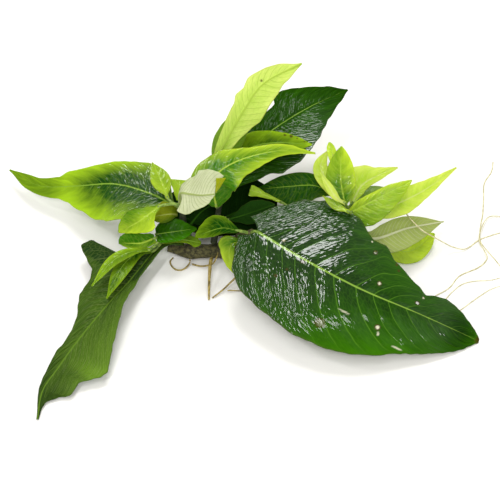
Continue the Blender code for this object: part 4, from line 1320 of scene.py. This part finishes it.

# Short leaves in the middle of the plant, and nearly black filler leaves whose colour is painted
# shade in its heart.
CENTRE_LEAVES = (
    LeafForm(
        "leaf_front_small", Skin.YOUNG, "leaf_young",
        ((-4.2, 3, 23), (-8.5, 1.5, 23), (-10, -1.5, 19.5), (-9.5, -5, 15.2), (-7.9, -7.6, 12)),
        ((-0.3, -0.8, 0.5),),
        halves=((0, 0.9, 0.9), (0.15, 1.5, 2.5), (0.27, 2, 6), (0.34, 2.3, 6.2), (0.45, 2.6, 4.6),
            (0.6, 2.6, 3.6), (0.77, 2.2, 2.3), (0.9, 1.2, 1.2), (1, POINT, POINT)),
        tones=((0, 0, 0, 0.1), (0.3, 0.1, 0.1, 0.6), (0.6, 0.4, 0.6, 1), (1, 1, 1, 1)), rib=0.5,
    ),
    LeafForm(
        "leaf_centre_short", Skin.GREEN, "leaf_green",
        ((-5.6, 3.6, 30.8), (-14, 4.4, 31.5), (-26, 3.2, 26.5)),
        halves=((0, 1, 1), (0.1, 1.6, 2.2), (0.21, 2.1, 3.7), (0.34, 2.6, 5.8), (0.47, 2.9, 6.8),
            (0.59, 3, 6.4), (0.81, 2.2, 4), (0.93, 1.2, 2), (1, POINT, POINT)),
        tones=((0, -0.1, -0.3, 0), (0.4, 0.1, -0.1, 0.3), (0.8, 0.3, 0.2, 0.5), (1, 0.4, 0.4, 0.5)),
        wetness=((0, 0, 0, 0),), rib=0.4,
    ),
    # Painted shade: this leaf in the shade of the others takes the nearly black shaded skin.
    LeafForm(
        "leaf_centre_grey", Skin.SHADED, "leaf_olive",
        ((-10, 15, 24.5), (0, 16.5, 27.5), (12, 19, 31)), (AWAY,),
        tones=((0, 0.9, 0.9, 1.2), (1, 1.3, 1.2, 1.6)),
        halves=((0, 1, 1), (0.15, 2.5, 2), (0.35, 5, 4.6), (0.55, 5.8, 5.5), (0.75, 5, 4.5),
            (0.9, 2.5, 2.5), (1, POINT, POINT)),
        rib=0.35,
    ),
    LeafForm(
        "leaf_centre_twisted", Skin.YOUNG, "leaf_young",
        ((16, 21.5, 29), (9, 24, 31), (0, 24.4, 35.5)),
        halves=((0, 0.6, 0.6), (0.3, 0.9, 0.8), (0.55, 1.5, 1.2), (0.75, 1.8, 2.2),
            (0.93, 2.8, 2.7), (1, 2.8, 2.4)),
    ),
    # Painted shade: these nearly black leaves fill the gaps in the plant's heart, where there is
    # only shade.
    LeafForm(
        "leaf_centre_dark", Skin.SHADED, "leaf_dark",
        ((-13, 17.5, 22), (0, 26, 20.5), (14, 33, 19)), ((0, -0.3, 0.95),),
        halves=((0, 6, 4), (0.1, 12, 8), (0.3, 19, 12.5), (0.5, 21, 14.5), (0.7, 17, 12),
            (0.85, 10, 8), (1, POINT, POINT)),
        grid=0.5,
    ),
    LeafForm(
        "leaf_under_dark", Skin.SHADED, "leaf_dark", ((3, 19.5, 8), (-20, 24.5, 10), (-46, 29, 8)),
        ((0, 0, 1),), width=17, full=1.6, grid=0.5,
    ),
    LeafForm(
        "leaf_inner_left", Skin.SHADED, "leaf_dark",
        ((-34.6, 17, 17), (-40, 19.5, 19), (-47, 21, 18)), ((0, -0.4, 0.9),), width=9, grid=0.5,
    ),
    LeafForm(
        "leaf_inner_right", Skin.SHADED, "leaf_dark",
        ((-29.4, 17, 17.5), (-24, 23, 20), (-17, 28, 21)), ((0, -0.4, 0.9),), width=18, full=1.6,
        grid=0.5,
    ),
    LeafForm(
        "leaf_inner_back", Skin.SHADED, "leaf_dark",
        ((-32.8, 20.3, 22), (-33, 26, 25), (-32, 33, 27)), ((0, -0.5, 0.87),), width=14, full=1.6,
        grid=0.5,
    ),
)

# Leaves of the shoot on the right.
RIGHT_LEAVES = (
    LeafForm(
        "leaf_right_dark", Skin.GREEN, "leaf_green",
        ((43, 26, 26), (33, 32, 29), (20, 32, 29), (2, 32, 26)), width=13, sides=(1.5, 1),
        # Painted shade: the tones are kept low for the shade among the leaves.
        tones=((0, 0.4, 0.1, 0.3), (0.3, 0.1, -0.2, 0), (0.6, 0, -0.3, -0.1), (1, 0.1, -0.1, 0)),
        wetness=((0, 0.1, 0.1, 0.1),), rib=0.4, grid=0.5,
    ),
    LeafForm(
        "leaf_right_lime", Skin.LIME, "leaf_lime",
        ((45, 19, 29), (39, 27, 36), (34, 34, 41), (38, 42, 45)), width=9,
        tones=((0, 0.3, 0.3, 0.3), (0.5, 0.6, 0.3, 0.6), (1, 0.6, 0.5, 0.6)),
    ),
    LeafForm(
        "leaf_right_bud", Skin.YOUNG, "leaf_young", ((43, 24, 40), (40, 33, 47), (38, 42, 50)),
        width=4.5, grid=0.35, belly=0.7, tones=((0, 0.9, 0.8, 0.9),),
    ),
    LeafForm(
        "leaf_right_upright", Skin.YOUNG, "leaf_olive", ((46, 16, 31), (43, 24, 44), (43, 35, 55)),
        width=14, full=1.5,
        tones=((0, 0.1, 0, 0.4), (0.2, 0.1, 0, 0.5), (0.4, 0.25, 0.2, 0.9), (0.7, 0.4, 0.45, 1),
            (1, 0.4, 0.5, 1)),
        bulges=((0, 2.4, 2.4, 2.4), (0.45, 2.4, 2.4, 2.4), (0.6, 0.6, 0.6, 0.6),
            (1, 0.2, 0.2, 0.2)),
        wetness=((0, 1.6, 1.6, 1.6), (0.5, 1.6, 1.6, 1.6), (0.62, 0.3, 0.3, 0.3),
            (1, 0.1, 0.1, 0.1)),
        cells=0.15, cell=(2, 4),
    ),
    LeafForm(
        "leaf_right_side", Skin.LIME, "leaf_lime",
        ((49, 20, 30), (54, 27, 36), (62, 30, 40), (71, 33, 42)),
        halves=((0, 1, 1), (0.12, 3, 1.8), (0.25, 8.5, 3), (0.38, 9.8, 3), (0.52, 7.5, 2.8),
            (0.68, 3.9, 2.4), (0.85, 1.8, 1.4), (1, POINT, POINT)),
        tones=((0, 0.4, 0, 0.2), (0.4, 0.6, 0.2, 0.4), (1, 0.7, 0.5, 0.6)),
    ),
    LeafForm(
        "leaf_right_grey", Skin.PALE, "leaf_pale", ((50, 22, 26), (57, 25, 30), (67, 28, 33)),
        width=8, tones=((0, 0.1, 0.1, 0.1),),
    ),
    LeafForm(
        "leaf_right_glossy", Skin.YOUNG, "leaf_young",
        ((48, 15, 30), (57, 16.5, 36), (67, 20, 40), (77, 25, 42)), grid=0.35,
        halves=((0, 1.5, 2.5), (0.06, 2.2, 7.5), (0.11, 2.9, 9.6), (0.22, 3.6, 10.5),
            (0.35, 3.6, 10.1), (0.47, 3.5, 9), (0.57, 3.5, 7.8), (0.66, 3.4, 6.5), (0.83, 2.1, 3.8),
            (0.93, 1.2, 1.6), (1, POINT, POINT)),
        # Painted highlight: the left margin is lighter where it catches the light.
        tones=((0, 0.8, 0.4, 0), (0.3, 1, 0.4, 0.2), (0.7, 1, 0.5, 0.5), (1, 0.8, 0.7, 0.8)),
        bulges=((0, 2.2, 2.2, 1), (0.4, 2.4, 2.2, 1), (0.8, 2, 1.6, 0.6), (1, 0.2, 0.2, 0.2)),
        wetness=((0, 1.6, 1.6, 1), (0.4, 1.6, 1.4, 0.6), (0.8, 1.6, 1.2, 0.4), (1, 0.2, 0.2, 0.2)),
        cells=0.15, cell=(2, 4),
    ),
    LeafForm(
        "leaf_right_tip", Skin.LIME, "leaf_lime",
        ((51, 16, 28), (65, 17, 31), (82, 24, 34), (101, 38, 36)),
        halves=((0, 1, 1), (0.12, 3.5, 3.5), (0.3, 5.5, 6), (0.42, 6, 6.4), (0.5, 5.7, 5.4),
            (0.6, 4.9, 4), (0.7, 3.7, 3), (0.85, 1.9, 1.5), (1, POINT, POINT)),
        tones=((0, 0.3, 0.2, 0.4), (0.4, 0.5, 0.2, 0.6), (1, 0.7, 0.5, 0.7)),
    ),
    LeafForm(
        "leaf_right_underside", Skin.OLIVE, "leaf_pale",
        ((49, 13, 24), (59, 6, 21), (77, 13, 20), (96, 20, 16)), (AWAY,), width=17,
        sides=(1.1, 0.75), tones=((0, 0.8, 0.8, 0.8), (1, 0.9, 0.9, 1)), spacing=2.4,
    ),
    LeafForm(
        "leaf_right_cupped", Skin.YOUNG, "leaf_young",
        ((52, 19, 12), (66, 11.5, 8.5), (80, 9.8, 5), (93, 19.5, 6.5)), width=12.5, belly=0.62,
        full=2, tones=((0, 0.8, 0.7, 0.8), (1, 0.9, 0.8, 0.8)),
    ),
    LeafForm(
        "leaf_right_sliver", Skin.LIME, "leaf_lime",
        ((45, 14, 38.3), (40, 15.3, 42), (33, 25.3, 47.5)), width=4, grid=0.35,
    ),
    LeafForm(
        "leaf_right_strap", Skin.YOUNG, "leaf_young",
        ((47, 10.5, 36.2), (40.5, 13.5, 37.3), (34.5, 18.5, 38.4)), width=4, grid=0.35,
    ),
)


@dataclass(frozen=True)
class Plant:
    """The whole plant: its stems, roots, stalks and leaves."""

    stems: tuple[StemForm, ...] = STEMS
    leaves: tuple[LeafForm, ...] = (
        *OLD_LEAVES, *CROWN_LEAVES, *LEFT_LEAVES, *CENTRE_LEAVES, *RIGHT_LEAVES
    )

    @staticmethod
    def root(node: str, path: tuple[Point, ...], radii: tuple[float, ...]) -> StemForm:
        """A root, of the older kind in the middle of the plant."""
        bark = Bark.OLD_ROOT if "middle" in node else Bark.ROOT
        return StemForm(node, bark, "root", path, radii, sides=10, pitch=0.9, uneven=0.12)

    @staticmethod
    def stalk(leaf: LeafForm) -> StemForm:
        """Stalk that joins a leaf to its shoot.

        Args:
            leaf: The leaf.

        Returns:
            The stalk.
        """
        start, foot, ahead = (Vector(p) for p in (STALKS[leaf.node], *leaf.path[:2]))
        way = (ahead - foot).normalized()
        bend = (start + foot) / 2 - way * 0.15 * (foot - start).length
        path = tuple(tuple(p) for p in (start, bend, foot, foot + 1.5 * way))
        name, radii = leaf.node + "_stalk", (0.9, 0.8, 0.75, 0.5)
        return StemForm(name, Bark.STALK, "stem", path, radii, sides=12, stands_in=False)

    def all_stems(self) -> list[StemForm]:
        """The stems, then the roots, then the stalks of the leaves."""
        stalks = (self.stalk(leaf) for leaf in self.leaves if leaf.node in STALKS)
        return [*self.stems, *(self.root(*row) for row in ROOTS), *stalks]

    def build(self) -> list[bpy.types.Object]:
        """Builds every piece, each with its own number as its seed."""
        pieces = [Stem(form, i).build() for i, form in enumerate(self.all_stems())]
        return pieces + [Leaf(form, i + 1).build() for i, form in enumerate(self.leaves)]


@dataclass
class Studio:
    """Pale floor, soft lights above, in front and on the left, and the photograph's camera."""

    target: Point = (-2.53, -2.88, 20.0)  # what the camera looks at
    distance: float = 433.0
    elevation: float = 55.0  # camera's angle above the floor, in degrees
    lens: float = 65.0
    floor_size: float = 6000.0

    def build(self) -> None:
        """Makes the camera, floor and lights."""
        self.add_camera()
        self.add_floor()
        self.add_light("left_key", (-190, -240, 870), (50, 500), 2.2)
        self.add_light("front_key", (50, -440, 765), (300, 70), 1.5)
        self.add_light("side_key", (-570, 60, 690), (80, 120), 1.1)
        self.add_light("low_key", (230, -770, 340), (90, 90), 1.0)
        self.add_light("top_softbox", (60, 360, 850), (300, 260), 3.8)
        self.add_light("front_softbox", (500, -500, 700), (600, 600), 0.6)
        world = bpy.data.worlds.new("studio_air")
        bpy.context.scene.world = world
        world.use_nodes = True
        air = world.node_tree.nodes["Background"]
        air.inputs["Color"].default_value = linear("FFFCF2")
        air.inputs["Strength"].default_value = 0.5
        bpy.context.scene.view_settings.view_transform = "Standard"

    def add_camera(self) -> None:
        """Puts the camera at the photograph's viewing angle."""
        camera = bpy.data.cameras.new("camera")
        camera.lens = self.lens
        camera.sensor_width = 36.0
        camera.clip_start = 0.01
        camera.clip_end = 50.0
        eye = add_object("camera", camera)
        tilt = math.radians(self.elevation)
        back = Vector((0, -math.cos(tilt), math.sin(tilt)))
        eye.location = (Vector(self.target) + back * self.distance) * MM
        eye.rotation_euler = (math.radians(90 - self.elevation), 0, 0)
        bpy.context.scene.camera = eye

    def add_floor(self) -> None:
        """Lays the pale, matt floor under the plant."""
        plane = bmesh.new()
        bmesh.ops.create_grid(plane, x_segments=1, y_segments=1, size=self.floor_size / 2 * MM)
        paper = bpy.data.materials.new("white_paper")
        paper.use_nodes = True
        shader = paper.node_tree.nodes["Principled BSDF"]
        shader.inputs["Base Color"].default_value = linear("F3F2F0")
        shader.inputs["Roughness"].default_value = 0.8
        floor = add_mesh("floor", plane)
        floor.data.materials.append(paper)

    def add_light(self, name: str, place: Point, size: Pair, power: float) -> None:
        """Adds a softbox that faces the plant.

        Args:
            name: The light's name.
            place: Where it hangs.
            size: Its width and height.
            power: Its power in watts.
        """
        lamp = bpy.data.lights.new(name, "AREA")
        lamp.shape = "RECTANGLE"
        lamp.size, lamp.size_y = (side * MM for side in size)
        lamp.energy = power
        light = add_object(name, lamp)
        light.location = Vector(place) * MM
        aim = Vector(self.target) - Vector(place)
        light.rotation_euler = aim.to_track_quat("-Z", "Y").to_euler()


def main() -> None:
    """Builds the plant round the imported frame, and the studio round the plant."""
    logging.basicConfig(level=logging.INFO, format="%(message)s")
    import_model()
    Studio().build()
    pieces = Plant().build()
    LOG.info("%d pieces", len(pieces))


if __name__ == "__main__":
    main()
